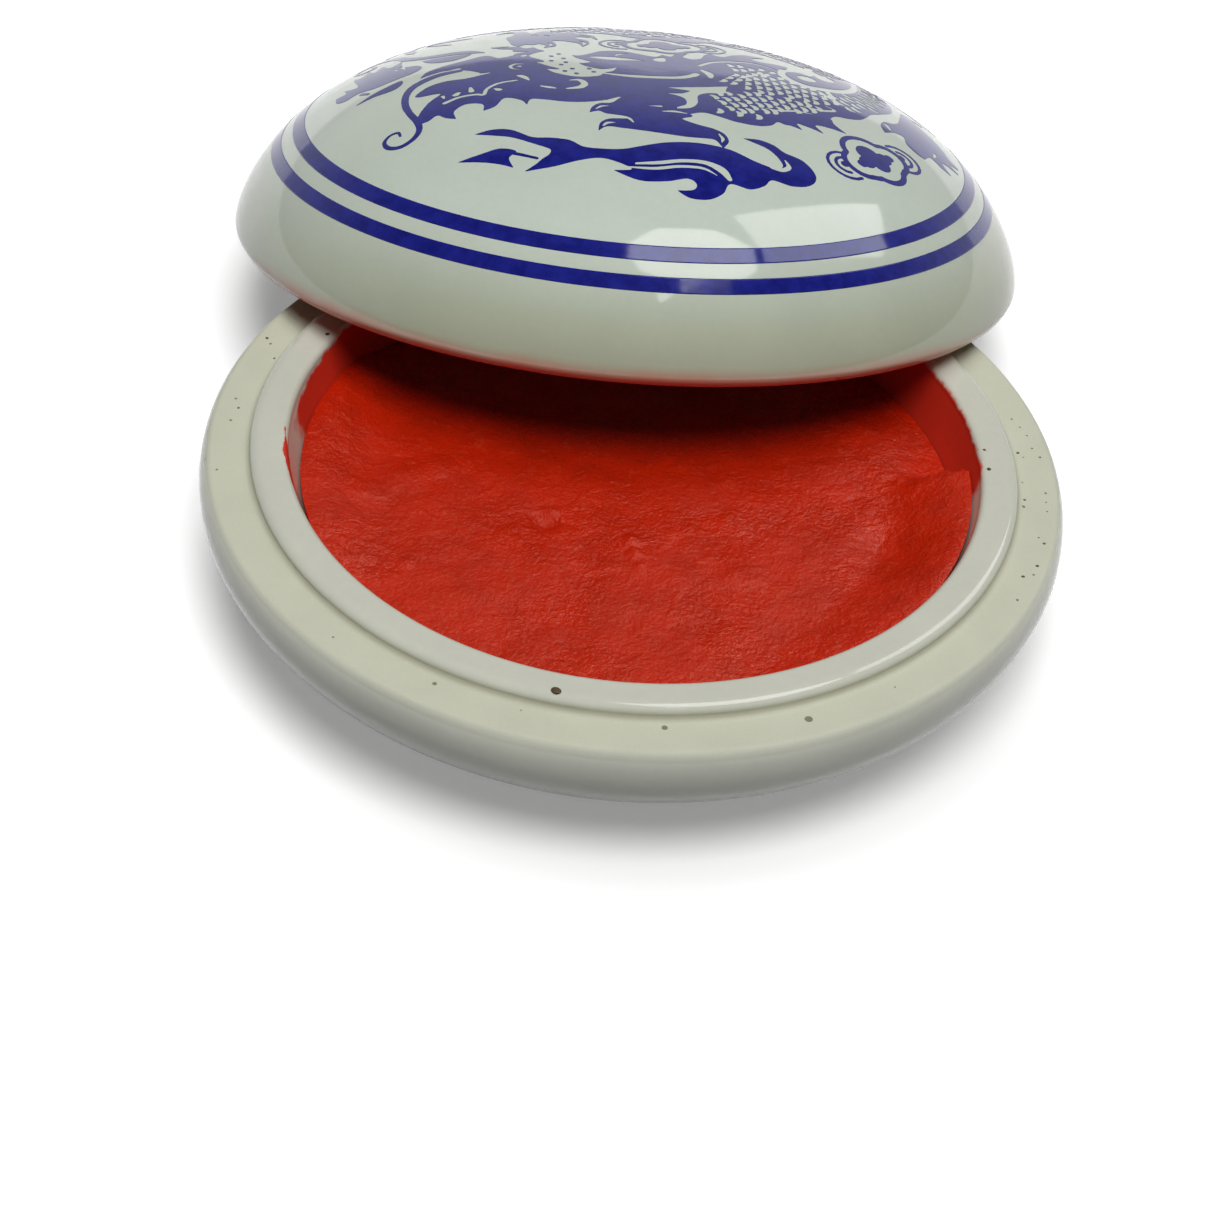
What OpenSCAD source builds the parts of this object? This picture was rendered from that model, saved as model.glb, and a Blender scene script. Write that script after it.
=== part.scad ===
// Seal paste box: a round porcelain dish of seal paste and its domed lid, left ajar.
// Millimetres, +Z up. The origin is the middle of the dish's foot, on the table.
// The lid leans on the dish from the +Y side: its back edge stands on the table
// and the front of its rim lies across the dish's collar.

/* [Dish] */
// Largest diameter of the dish and the lid
box_d = 80; // [76:0.5:100]
// Height of the flat ledge above the table
ledge_h = 14.5; // [12:0.1:18]
// Width of the ledge, from the collar to the side
ledge_w = 4.6; // [3.6:0.1:7]
// How far the rounded edge of the ledge reaches in from the side
edge_w = 1.1; // [0.5:0.1:1.8]
// How far the rounded edge of the ledge drops to the widest point
edge_drop = 2.6; // [1:0.1:3.5]
// Fullness of the body below the edge, as a power where 2 is a plain ellipse
body_power = 1.9; // [1.7:0.05:2.2]
// Outer diameter of the foot ring
foot_d = 56; // [48:0.5:62]
// Width of the foot ring
foot_w = 2.4; // [1.5:0.1:4]
// Height of the foot ring, and of the hollow inside it
foot_h = 1.1; // [0.6:0.1:1.8]

/* [Collar and well] */
// Height of the collar above the ledge
collar_h = 1.3; // [1:0.1:2.5]
// Rounding of the collar's top edges
collar_round = 0.7; // [0.2:0.05:0.9]
// Thickness of the collar's wall at its top
collar_t = 3.5; // [2.2:0.1:5]
// How far the well's wall draws in on its way down
well_inset = 1.6; // [0.4:0.1:2.4]
// Radius of the curve between the well's wall and its floor
well_curve = 7; // [4:0.5:7.5]
// Thickness of clay under the well
floor_t = 3.6; // [2.5:0.1:4]

/* [Seal paste] */
// How far the edge of the paste lies below the top of the collar
paste_drop = 5; // [3.5:0.1:6]
// How much the middle of the paste stands above its edge
paste_crown = 0.5; // [0:0.1:1.5]
// Gap between the paste and the well's wall
paste_gap = 0.12; // [0.05:0.01:0.4]

/* [Lid] */
// Height of the lid above the face of its rim
lid_h = 19.7; // [17:0.1:26]
// How far the lid's rounded lower edge reaches in to the face of its rim
side_w = 1.4; // [0.5:0.1:1.8]
// Height of the lid's widest point above the face of its rim
side_h = 1.2; // [0.6:0.1:3]
// Fullness of the lid towards its side, as a power where 2 is a plain ellipse
side_power = 2.95; // [2.2:0.05:3.2]
// Fullness of the lid towards its top, as a power where 2 is a plain ellipse
top_power = 1.55; // [1.5:0.05:2.2]
// Thickness of the lid at its top
lid_t = 3.6; // [2.5:0.1:4.5]
// Height of the straight wall inside the lid
lip_h = 3; // [2.6:0.1:4.5]
// Rounding of the inner edge of the rim
lip_round = 0.4; // [0.1:0.05:0.6]
// Clearance between the collar and the lid all round, with the box closed
lid_clear = 0.45; // [0.2:0.05:0.8]

/* [Lid left ajar] */
// Distance from the middle of the lid to where its rim crosses the collar
lean_over = 17.6; // [16:0.1:24]
// How far the lid is pushed to the side
lean_side = 2.9; // [0:0.1:4]
// Gap left between the rim and the top of the collar
rest_gap = 0.1; // [0.05:0.01:0.3]

/* [Hidden] */
$fn = 128;

// Steps along each curve of an outline
curve_steps = 24;
edge_steps = 6;
// Least height of the well's straight wall below the edge of the paste
wall_left = 0.5;

box_r = box_d / 2;
foot_r = foot_d / 2;
collar_r = box_r - ledge_w;
collar_top = ledge_h + collar_h;
widest_z = ledge_h - edge_drop;
well_floor = foot_h + floor_t;
well_r = collar_r - collar_t;

// The body's curve ends where it meets the top of the foot ring
body_end = acos(pow(foot_r / box_r, body_power / 2));
body_depth = (widest_z - foot_h) / pow(sin(body_end), 2 / body_power);

paste_edge_z = collar_top - paste_drop;
// The curve at the bottom of the well stays below the edge of the paste
well_bend = min(well_curve, paste_edge_z - well_floor - wall_left);
// The well's wall draws in steadily from under the collar's rounding to the curve
wall_top = collar_top - collar_round;
paste_r = well_r - paste_gap
    - well_inset * (wall_top - paste_edge_z) / (wall_top - well_floor - well_bend);

rim_r = box_r - side_w;
lip_r = collar_r + lid_clear;

// The lid's lean: from the table under its back edge to the top of the collar
lean = asin((collar_top + rest_gap) / (rim_r + lean_over));
// Height of the middle of the rim, with the rounded back edge just on the table
lean_z = rim_r * sin(lean) - side_h * cos(lean)
    + norm([side_w * sin(lean), side_h * cos(lean)]);
// The inner edge of the rim meets the collar here, on the side that the lid is nearer to
cross_x = sqrt(pow(lip_r, 2) - pow(lean_over, 2)) - lean_side;
cross_y = sqrt(pow(collar_r, 2) - pow(cross_x, 2));
lean_y = cross_y + lean_over * cos(lean);

// Points of an elliptical arc from one angle to another
function arc(centre, across, up, from, to, steps) =
    [for (i = [0:steps])
        let (a = from + (to - from) * i / steps)
        centre + [across * cos(a), up * sin(a)]];

// Points of a dome's outline from its top down to its widest point
function dome(r, base_z, top_z, side, top) =
    [for (i = [0:curve_steps])
        let (a = 90 * i / curve_steps)
        [r * pow(sin(a), 2 / side), base_z + (top_z - base_z) * pow(cos(a), 2 / top)]];

// Points of the dish's outer curve from the foot ring up to the widest point
function body_curve() =
    [for (i = [curve_steps:-1:0])
        let (a = body_end * i / curve_steps)
        [box_r * pow(cos(a), 2 / body_power), widest_z - body_depth * pow(sin(a), 2 / body_power)]];

// Points of the well's curve, from the wall in to the floor, drawn in by a gap
function well_bottom(gap) =
    arc([well_r - well_inset - well_bend - gap, well_floor + well_bend],
        well_bend, well_bend, 0, -90, curve_steps / 2);

module base() {
    inner_round = well_r + collar_round;
    outer_round = collar_r - collar_round;
    color([0.86, 0.87, 0.81])
        rotate_extrude()
            polygon(concat(
                [[0, foot_h], [foot_r - foot_w, foot_h], [foot_r - foot_w, 0], [foot_r, 0]],
                body_curve(),
                arc([box_r - edge_w, widest_z], edge_w, edge_drop, 0, 90, edge_steps),
                [[collar_r, ledge_h]],
                arc([outer_round, wall_top],
                    collar_round, collar_round, 0, 90, edge_steps),
                arc([inner_round, wall_top],
                    collar_round, collar_round, 90, 180, edge_steps),
                well_bottom(0),
                [[0, well_floor]]));
}

module seal_paste() {
    color([0.74, 0.10, 0.05])
        rotate_extrude()
            polygon(concat(
                [[0, well_floor]],
                [for (i = [curve_steps / 2:-1:0]) well_bottom(paste_gap)[i]],
                [for (i = [0:edge_steps])
                    let (a = 90 * i / edge_steps)
                    [paste_r * cos(a), paste_edge_z + paste_crown * sin(a)]]));
}

module lid_at_origin() {
    rotate_extrude()
        polygon(concat(
            dome(box_r, side_h, lid_h, side_power, top_power),
            arc([rim_r, side_h], side_w, side_h, -90 / edge_steps, -90, edge_steps - 1),
            arc([lip_r + lip_round, lip_round], lip_round, lip_round, -90, -180, edge_steps),
            [for (i = [curve_steps:-1:0])
                dome(lip_r, lip_h, lid_h - lid_t, side_power, top_power)[i]]));
}

module lid() {
    color([0.90, 0.92, 0.90])
        translate([-lean_side, lean_y, lean_z])
            rotate([-lean, 0, 0])
                lid_at_origin();
}

base();
seal_paste();
lid();
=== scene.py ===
"""Looks of a round porcelain seal paste box with a blue print, left ajar.

The dish, the lid, the painted rings and the paste are turned shapes, made by node groups.
Everything is in metres, +Z up, with the origin under the middle of the dish.
"""

import math

import bpy
import numpy as np
from bpy.props import FloatProperty, FloatVectorProperty, PointerProperty
from mathutils import Matrix, Vector
from mathutils.geometry import delaunay_2d_cdt


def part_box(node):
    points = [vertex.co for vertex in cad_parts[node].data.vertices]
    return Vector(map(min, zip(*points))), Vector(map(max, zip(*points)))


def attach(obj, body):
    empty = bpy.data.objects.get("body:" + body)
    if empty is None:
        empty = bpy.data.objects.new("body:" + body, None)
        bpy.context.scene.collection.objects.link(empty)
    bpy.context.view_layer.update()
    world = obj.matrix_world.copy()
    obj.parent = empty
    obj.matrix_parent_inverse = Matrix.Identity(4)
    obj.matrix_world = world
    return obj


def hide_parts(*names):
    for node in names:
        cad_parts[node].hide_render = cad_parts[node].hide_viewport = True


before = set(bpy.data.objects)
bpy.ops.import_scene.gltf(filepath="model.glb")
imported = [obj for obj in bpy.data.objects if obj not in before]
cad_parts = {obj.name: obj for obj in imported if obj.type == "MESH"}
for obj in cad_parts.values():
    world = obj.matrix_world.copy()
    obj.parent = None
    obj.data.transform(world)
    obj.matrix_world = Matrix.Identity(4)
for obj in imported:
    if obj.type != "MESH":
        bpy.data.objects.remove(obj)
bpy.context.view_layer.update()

bl_info = {
    "name": "Seal Paste Box",
    "version": (1, 0, 0),
    "blender": (4, 5, 0),
    "location": "3D View > Sidebar > Seal Box",
    "description": "Makes a printed porcelain box of seal paste, left ajar",
    "category": "Add Mesh",
}

MM = 0.001
# A quarter turn, in which the arcs of an outline are told
QUARTER = math.pi / 2
# Steps of a turned shape round its axis, and the least angle of a sharp edge
AROUND = 256
SHARP = math.radians(40)
# Vertices closer than this are one
WELD = 0.001 * MM


# Settings that a user would change

def length(name, description, default):
    """A size in metres."""
    return FloatProperty(name=name, description=description, default=default, min=0.0,
                         unit="LENGTH", precision=5)


def number(name, description, default):
    """A plain number, such as a power."""
    return FloatProperty(name=name, description=description, default=default)


def angle(name, description, degrees):
    """An angle, kept in radians."""
    return FloatProperty(name=name, description=description, default=math.radians(degrees),
                         subtype="ANGLE")


def colour(name, description, default):
    """A colour in linear light."""
    return FloatVectorProperty(name=name, description=description, default=default, size=3,
                               min=0.0, max=1.0, subtype="COLOR")


class DishSettings(bpy.types.PropertyGroup):
    """Sizes of the dish."""

    diameter: length("Diameter", "Largest diameter of the dish and the lid",
                     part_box("base")[1].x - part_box("base")[0].x)
    ledge_height: length("Ledge height", "Height of the flat ledge above the table", 14.5 * MM)
    ledge_width: length("Ledge width", "From the collar to the side", 4.6 * MM)
    edge_width: length("Edge width", "How far the rounded edge reaches in", 1.1 * MM)
    edge_drop: length("Edge drop", "From the ledge down to the widest point", 2.6 * MM)
    body_power: number("Body power", "Fullness of the body, where 2 is a plain ellipse", 1.9)
    foot_diameter: length("Foot diameter", "Outer diameter of the foot ring", 56 * MM)
    foot_width: length("Foot width", "Width of the foot ring", 2.4 * MM)
    foot_height: length("Foot height", "Height of the foot ring", 1.1 * MM)
    foot_rounding: length("Foot rounding", "Softened edges of the foot ring", 0.25 * MM)
    collar_height: length("Collar height", "Height of the collar above the ledge", 1.3 * MM)
    collar_rounding: length("Collar rounding", "Rounding of the collar's top edges", 0.7 * MM)
    collar_shoulder: length("Collar shoulder", "Width of the collar's soft outer shoulder", 1.15 * MM)
    collar_fillet: length("Collar fillet", "Width of the glaze pooled round the collar", 0.75 * MM)
    pool_height: length("Pool height", "Height of the glaze pooled round the collar", 0.55 * MM)
    collar_thickness: length("Collar thickness", "Wall of the collar at its top", 3.5 * MM)
    well_inset: length("Well inset", "How far the well's wall draws in", 1.6 * MM)
    well_curve: length("Well curve", "Curve between the well's wall and floor", 5.6 * MM)
    floor_thickness: length("Floor thickness", "Clay under the well", 3.6 * MM)


class LidSettings(bpy.types.PropertyGroup):
    """Sizes of the lid, and how it leans on the dish."""

    height: length("Height", "Height above the face of the rim", 19.7 * MM)
    side_width: length("Side width", "How far the rounded lower edge reaches in", 1.4 * MM)
    side_height: length("Side height", "Widest point above the face of the rim", 1.2 * MM)
    side_power: number("Side power", "Fullness towards the side", 2.95)
    top_power: number("Top power", "Fullness towards the top", 1.55)
    thickness: length("Thickness", "Clay at the top of the lid", 3.6 * MM)
    lip_height: length("Lip height", "Straight wall inside the lid", 3 * MM)
    lip_rounding: length("Lip rounding", "Rounding of the inner edge of the rim", 0.4 * MM)
    clearance: length("Clearance", "Between the collar and the closed lid", 0.45 * MM)
    lean_over: length("Lean over", "From the lid's middle to where it crosses the collar", 17.6 * MM)
    lean_side: length("Lean side", "How far the lid is pushed to the side", 2.9 * MM)
    rest_gap: length("Rest gap", "Between the rim and the top of the collar", 0.1 * MM)


class PasteSettings(bpy.types.PropertyGroup):
    """Sizes of the cake of seal paste."""

    drop: length("Drop", "Edge of the paste below the top of the collar", 5 * MM)
    crown: length("Crown", "How much the middle stands above the edge", 0.5 * MM)
    gap: length("Gap", "Between the paste and the well's wall", 0.12 * MM)
    waves: length("Waves", "Height of the slow waves on top", 0.9 * MM)
    lumps: length("Lumps", "Height of the fine lumps on top", 0.22 * MM)
    near_bank: length("Near bank", "How high the near right side is banked up", 3 * MM)
    far_bank: length("Far bank", "How high the left side is banked up", 1.4 * MM)
    pull: length("Pull", "How far the far right corner is drawn back", 1.1 * MM)
    sink: length("Sink", "How far that corner has sunk", 0.5 * MM)


class PrintSettings(bpy.types.PropertyGroup):
    """Sizes of the blue print on the lid."""

    inner_ring: length("Inner ring", "Radius of the inner ring's middle", 34.1 * MM)
    inner_width: length("Inner width", "Width of the inner ring", 1.2 * MM)
    outer_ring: length("Outer ring", "Radius of the outer ring's middle", 36.25 * MM)
    outer_width: length("Outer width", "Width of the outer ring", 1 * MM)
    film: length("Film", "Height of the print above the clay", 0.03 * MM)
    bedding: length("Bedding", "Depth of the print's underside in the glaze", 0.03 * MM)


class ColourSettings(bpy.types.PropertyGroup):
    """Colours of the finishes, in linear light."""

    dish_glaze: colour("Dish glaze", "Greenish white glaze of the dish", (0.60, 0.61, 0.52))
    lid_glaze: colour("Lid glaze", "Greenish white glaze of the lid", (0.570, 0.634, 0.555))
    clay: colour("Clay", "Bare fired clay of the ledge and the rims", (0.555, 0.565, 0.445))
    cobalt: colour("Cobalt", "Blue of the print", (0.008, 0.010, 0.16))
    vermilion: colour("Vermilion", "Red of the seal paste", (0.5, 0.014, 0.001))
    stain: colour("Stain", "Thin smear of paste on porcelain", (0.64, 0.022, 0.006))
    speck: colour("Speck", "Iron specks and pinholes in the clay", (0.11, 0.07, 0.03))


class StudioSettings(bpy.types.PropertyGroup):
    """The camera and the lamps."""

    camera_place: FloatVectorProperty(
        name="Camera place", description="Where the camera stands",
        default=(-0.849 * MM, -220.077 * MM, 189.195 * MM), size=3, subtype="TRANSLATION")
    camera_tilt: angle("Camera tilt", "How far the camera looks down", 37.715)
    camera_roll: angle("Camera roll", "How far the camera is turned about its view", 5.434)
    camera_lens: FloatProperty(name="Lens", description="Focal length in millimetres",
                               default=89.591)
    camera_shift: FloatVectorProperty(
        name="Shift", description="Shift of the frame from the view's middle",
        default=(-0.01597, -0.16011), size=2)
    key_strength: number("Key strength", "Strength of the main lamp, at the front", 2.2)
    top_strength: number("Top strength", "Strength of the lamp overhead", 0.75)
    back_strength: number("Back strength", "Strength of the lamp at the back right", 0.15)
    ambient: number("Ambient", "Light from all round", 0.025)
    backdrop: number("Backdrop", "Brightness of the backdrop in reflections", 0.5)
    highlight: number("Highlight", "Brightness of the lamps in reflections", 5.0)
    floor_bounce: number("Floor bounce", "Share of light that the floor throws back", 0.18)
    floor_glow: number("Floor glow", "Light added so that the floor looks white", 0.26)


class BoxSettings(bpy.types.PropertyGroup):
    """Everything about the seal paste box."""

    dish: PointerProperty(type=DishSettings)
    lid: PointerProperty(type=LidSettings)
    paste: PointerProperty(type=PasteSettings)
    print: PointerProperty(type=PrintSettings)
    colours: PointerProperty(type=ColourSettings)
    studio: PointerProperty(type=StudioSettings)


def values_of(group):
    """A settings group as a dict of its values."""
    return {key: getattr(group, key) for key in group.__annotations__}


# Sizes worked out from the settings

def box_radius(dish):
    return dish.diameter / 2


def collar_radius(dish):
    return box_radius(dish) - dish.ledge_width


def collar_top(dish):
    return dish.ledge_height + dish.collar_height


def lid_place(settings):
    """The place of the leaning lid: its back edge on the table, its rim across the collar."""
    dish = settings.dish
    lid = settings.lid
    rim = box_radius(dish) - lid.side_width
    lean = math.asin((collar_top(dish) + lid.rest_gap) / (rim + lid.lean_over))
    height = (rim * math.sin(lean) - lid.side_height * math.cos(lean)
              + math.hypot(lid.side_width * math.sin(lean), lid.side_height * math.cos(lean)))
    lip = collar_radius(dish) + lid.clearance
    cross_x = math.sqrt(lip ** 2 - lid.lean_over ** 2) - lid.lean_side
    cross_y = math.sqrt(collar_radius(dish) ** 2 - cross_x ** 2)
    place = Vector((-lid.lean_side, cross_y + lid.lean_over * math.cos(lean), height))
    return place, -lean


def lid_matrix(settings):
    """The matrix that leans the lid on the dish."""
    place, lean = lid_place(settings)
    return Matrix.Translation(place) @ Matrix.Rotation(lean, 4, "X")


# Node trees

class Value:
    """A number in a node tree. Sums written with it add Math nodes."""

    def __init__(self, tree, socket):
        self.tree = tree
        self.socket = socket

    def maths(self, operation, *others):
        """The result of a Math node for this number and the others."""
        node = self.tree.nodes.new("ShaderNodeMath")
        node.operation = operation
        for place, value in zip(node.inputs, (self, *others)):
            feed(self.tree, value, place)
        return Value(self.tree, node.outputs[0])

    def __add__(self, other):
        return self.maths("ADD", other)

    def __sub__(self, other):
        return self.maths("SUBTRACT", other)

    def __rsub__(self, other):
        return -self + other

    def __neg__(self):
        return self.maths("MULTIPLY", -1.0)

    def __mul__(self, other):
        return self.maths("MULTIPLY", other)

    def __truediv__(self, other):
        return self.maths("DIVIDE", other)

    def __rtruediv__(self, other):
        return self.maths("POWER", -1.0) * other

    def __pow__(self, other):
        return self.maths("POWER", other)

    __radd__ = __add__
    __rmul__ = __mul__


def feed(tree, value, place):
    """Links a socket to an input, or sets the input to a plain value."""
    if isinstance(value, Value):
        value = value.socket
    if isinstance(value, bpy.types.NodeSocket):
        tree.links.new(value, place)
    else:
        place.default_value = value


def add(tree, kind, inputs=None, **settings):
    """Adds a node with its settings, and feeds its inputs by name or number."""
    node = tree.nodes.new(kind)
    for name, value in settings.items():
        setattr(node, name, value)
    for place, value in (inputs or {}).items():
        feed(tree, value, node.inputs[place])
    return node


def label(key):
    """A socket's name from a setting's key."""
    return key.replace("_", " ").capitalize()


def new_group(name, kind, inputs, outputs):
    """An empty node group: its tree, its inputs by key as values, and its output node."""
    tree = bpy.data.node_groups.new(name, kind)
    for key, socket in inputs.items():
        tree.interface.new_socket(name=label(key), in_out="INPUT",
                                  socket_type="NodeSocket" + socket)
    for key, socket in outputs.items():
        tree.interface.new_socket(name=label(key), in_out="OUTPUT",
                                  socket_type="NodeSocket" + socket)
    source = tree.nodes.new("NodeGroupInput")
    taken = {key: Value(tree, source.outputs[label(key)]) for key in inputs}
    return tree, taken, tree.nodes.new("NodeGroupOutput")


def shape_group(name, keys, **others):
    """A node group that makes a mesh. Its inputs are numbers by key, then others by kind."""
    return new_group(name, "GeometryNodeTree", {**dict.fromkeys(keys, "Float"), **others},
                     {"mesh": "Geometry"})


def place_group(tree, name, maker, values):
    """Adds a node group to a tree, with its inputs by key. The group is made once."""
    node = tree.nodes.new("GeometryNodeGroup" if tree.bl_idname == "GeometryNodeTree"
                          else "ShaderNodeGroup")
    node.node_tree = bpy.data.node_groups.get(name) or maker(name)
    for key, value in values.items():
        feed(tree, value, node.inputs[label(key)])
    return node


def new_object(name, data):
    """A new object, linked to the scene."""
    made = bpy.data.objects.new(name, data)
    bpy.context.scene.collection.objects.link(made)
    return made


def grow(name, tree, values, points=None):
    """Runs a geometry tree with these inputs, and returns the result as a plain mesh."""
    seed = points or bpy.data.meshes.new(name)
    piece = new_object(name, seed)
    modifier = piece.modifiers.new("Shape", "NODES")
    modifier.node_group = tree
    for item in tree.interface.items_tree:
        for key, value in values.items():
            if item.in_out == "INPUT" and item.name == label(key):
                modifier[item.identifier] = value
    depsgraph = bpy.context.evaluated_depsgraph_get()
    made = bpy.data.meshes.new_from_object(piece.evaluated_get(depsgraph),
                                           preserve_all_data_layers=True,
                                           depsgraph=depsgraph)
    piece.modifiers.remove(modifier)
    piece.data = made
    made.name = name
    bpy.data.meshes.remove(seed)
    return piece


# Turned shapes

# Inputs of the trees below that are plain numbers and not settings
BAND_INPUTS = ("centre_radius", "centre_height", "across", "up", "start", "end", "radius_power",
               "height_power")
LID_INPUTS = ("radius", "lip_radius")
RING_INPUTS = ("inner_radius", "inner_height", "outer_radius", "outer_height", "thickness")


def signed_power(value, power):
    """A power that keeps the sign of its base."""
    return value.maths("SIGN") * value.maths("ABSOLUTE") ** power


def band_group(name):
    """One turned band: an arc or a straight line of the outline, carried round the axis."""
    tree, band, result = shape_group(name, BAND_INPUTS, steps="Int", around="Int")
    grid = add(tree, "GeometryNodeMeshGrid", {
        "Size X": 1.0, "Size Y": 1.0,
        "Vertices X": band["around"] + 1, "Vertices Y": band["steps"] + 1})
    place = add(tree, "ShaderNodeSeparateXYZ",
                {0: add(tree, "GeometryNodeInputPosition").outputs[0]})
    turn = (Value(tree, place.outputs["X"]) + 0.5) * math.tau
    along = Value(tree, place.outputs["Y"]) + 0.5
    bend = band["start"] + (band["end"] - band["start"]) * along
    radius = (band["centre_radius"]
              + band["across"] * signed_power(bend.maths("COSINE"), band["radius_power"]))
    height = (band["centre_height"]
              + band["up"] * signed_power(bend.maths("SINE"), band["height_power"]))
    point = add(tree, "ShaderNodeCombineXYZ", {
        "X": radius * turn.maths("COSINE"), "Y": radius * turn.maths("SINE"), "Z": height})
    turned = add(tree, "GeometryNodeSetPosition",
                 {"Geometry": grid.outputs["Mesh"], "Position": point.outputs[0]})
    feed(tree, turned.outputs[0], result.inputs[0])
    return tree


class Lathe:
    """Turned bands in one tree, which follow an outline anticlockwise."""

    def __init__(self, tree, around):
        self.tree = tree
        self.around = around
        self.made = []

    def arc(self, centre, reach, sweep, steps, powers=(1.0, 1.0)):
        """An arc about a centre (radius, height), from one angle of the sweep to the other."""
        self.made.append(place_group(self.tree, "Turned band", band_group, {
            "centre_radius": centre[0], "centre_height": centre[1],
            "across": reach[0], "up": reach[1], "start": sweep[0], "end": sweep[1],
            "radius_power": powers[0], "height_power": powers[1],
            "steps": steps, "around": self.around}))

    def line(self, start, end, steps):
        """A straight line from one (radius, height) to another."""
        self.arc((end[0], start[1]), (start[0] - end[0], end[1] - start[1]),
                 (0.0, QUARTER), steps, (2.0, 2.0))

    def weld(self):
        """The bands as one smooth closed skin."""
        joined = add(self.tree, "GeometryNodeJoinGeometry")
        for node in self.made:
            self.tree.links.new(node.outputs[0], joined.inputs[0])
        merged = add(self.tree, "GeometryNodeMergeByDistance",
                     {"Geometry": joined.outputs[0], "Distance": WELD})
        smooth = add(self.tree, "GeometryNodeSetShadeSmooth", {"Geometry": merged.outputs[0]})
        return smooth.outputs[0]


def finish_with(tree, mesh, material, result):
    """Ends a tree: real geometry in one material."""
    real = add(tree, "GeometryNodeRealizeInstances", {"Geometry": mesh})
    dressed = add(tree, "GeometryNodeSetMaterial",
                  {"Geometry": real.outputs[0], "Material": material})
    feed(tree, dressed.outputs[0], result.inputs[0])


def dish_tree(settings):
    """The dish's outline, from under its foot out, up, over the collar and into the well."""
    tree, d, result = shape_group("Turned dish", values_of(settings.dish), around="Int",
                                  glaze="Material")
    lathe = Lathe(tree, d["around"])
    side = d["diameter"] / 2
    foot = d["foot_diameter"] / 2
    foot_inner = foot - d["foot_width"]
    soft = d["foot_rounding"]
    widest = d["ledge_height"] - d["edge_drop"]
    collar = side - d["ledge_width"]
    top = d["ledge_height"] + d["collar_height"]
    rounding = d["collar_rounding"]
    shoulder = d["collar_shoulder"]
    fillet = d["collar_fillet"]
    pool = d["ledge_height"] + d["pool_height"]
    well = collar - d["collar_thickness"]
    well_floor = d["foot_height"] + d["floor_thickness"]
    bend = d["well_curve"]
    bend_radius = well - d["well_inset"] - bend

    # The hollow inside the foot ring, and the ring with its softened edges
    lathe.line((0.0, d["foot_height"]), (foot_inner, d["foot_height"]), 10)
    lathe.line((foot_inner, d["foot_height"]), (foot_inner, soft), 3)
    lathe.arc((foot_inner + soft, soft), (soft, soft), (-2 * QUARTER, -QUARTER), 4)
    lathe.line((foot_inner + soft, 0.0), (foot - soft, 0.0), 4)
    lathe.arc((foot - soft, soft), (soft, soft), (-QUARTER, 0.0), 4)
    lathe.line((foot, soft), (foot, d["foot_height"]), 3)
    # The body, which ends where it meets the top of the foot ring, and the ledge
    power = 2 / d["body_power"]
    start = ((foot / side) ** (d["body_power"] / 2)).maths("ARCCOSINE")
    depth = (widest - d["foot_height"]) / start.maths("SINE") ** power
    lathe.arc((0.0, widest), (side, depth), (-start, 0.0), 32, powers=(power, power))
    lathe.arc((side - d["edge_width"], widest), (d["edge_width"], d["edge_drop"]),
              (0.0, QUARTER), 12)
    lathe.line((side - d["edge_width"], d["ledge_height"]),
               (collar + fillet, d["ledge_height"]), 8)
    # The pooled glaze, the collar and its rounded edges
    lathe.arc((collar + fillet, pool), (fillet, d["pool_height"]), (-QUARTER, -2 * QUARTER), 7)
    lathe.line((collar, pool), (collar, top - rounding), 1)
    lathe.arc((collar - shoulder, top - rounding), (shoulder, rounding), (0.0, QUARTER), 12)
    lathe.line((collar - shoulder, top), (well + rounding, top), 6)
    lathe.arc((well + rounding, top - rounding), (rounding, rounding),
              (QUARTER, 2 * QUARTER), 8)
    # The well
    lathe.line((well, top - rounding), (bend_radius + bend, well_floor + bend), 8)
    lathe.arc((bend_radius, well_floor + bend), (bend, bend), (0.0, -QUARTER), 12)
    lathe.line((bend_radius, well_floor), (0.0, well_floor), 10)
    finish_with(tree, lathe.weld(), d["glaze"], result)
    return tree


def dome(lathe, radius, foot, rise, lid, sweep, steps):
    """The lid's dome, outside or inside, over one quarter of its outline."""
    lathe.arc((0.0, foot), (radius, rise), sweep, steps,
              powers=(2 / lid["side_power"], 2 / lid["top_power"]))


def lid_tree(settings):
    """The lid's outline, from its rim's inner edge out, up over the dome and back inside."""
    tree, lid, result = shape_group("Turned lid", (*values_of(settings.lid), *LID_INPUTS),
                                    around="Int", glaze="Material")
    lathe = Lathe(tree, lid["around"])
    rim = lid["radius"] - lid["side_width"]
    lip = lid["lip_radius"]
    soft = lid["lip_rounding"]
    lathe.line((lip + soft, 0.0), (rim, 0.0), 5)
    lathe.arc((rim, lid["side_height"]), (lid["side_width"], lid["side_height"]),
              (-QUARTER, 0.0), 12)
    dome(lathe, lid["radius"], lid["side_height"], lid["height"] - lid["side_height"], lid,
         (0.0, QUARTER), 72)
    dome(lathe, lip, lid["lip_height"], lid["height"] - lid["thickness"] - lid["lip_height"],
         lid, (QUARTER, 0.0), 40)
    lathe.line((lip, lid["lip_height"]), (lip, soft), 4)
    lathe.arc((lip + soft, soft), (soft, soft), (-2 * QUARTER, -QUARTER), 6)
    finish_with(tree, lathe.weld(), lid["glaze"], result)
    return tree


def make_dish(settings):
    """The dish, turned, standing for its CAD node."""
    dish = grow("dish_porcelain", dish_tree(settings),
                {**values_of(settings.dish), "around": AROUND, "glaze": finish(settings, "dish")})
    dish.data.set_sharp_from_angle(angle=SHARP)
    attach(dish, "base")
    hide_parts("base")


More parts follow.
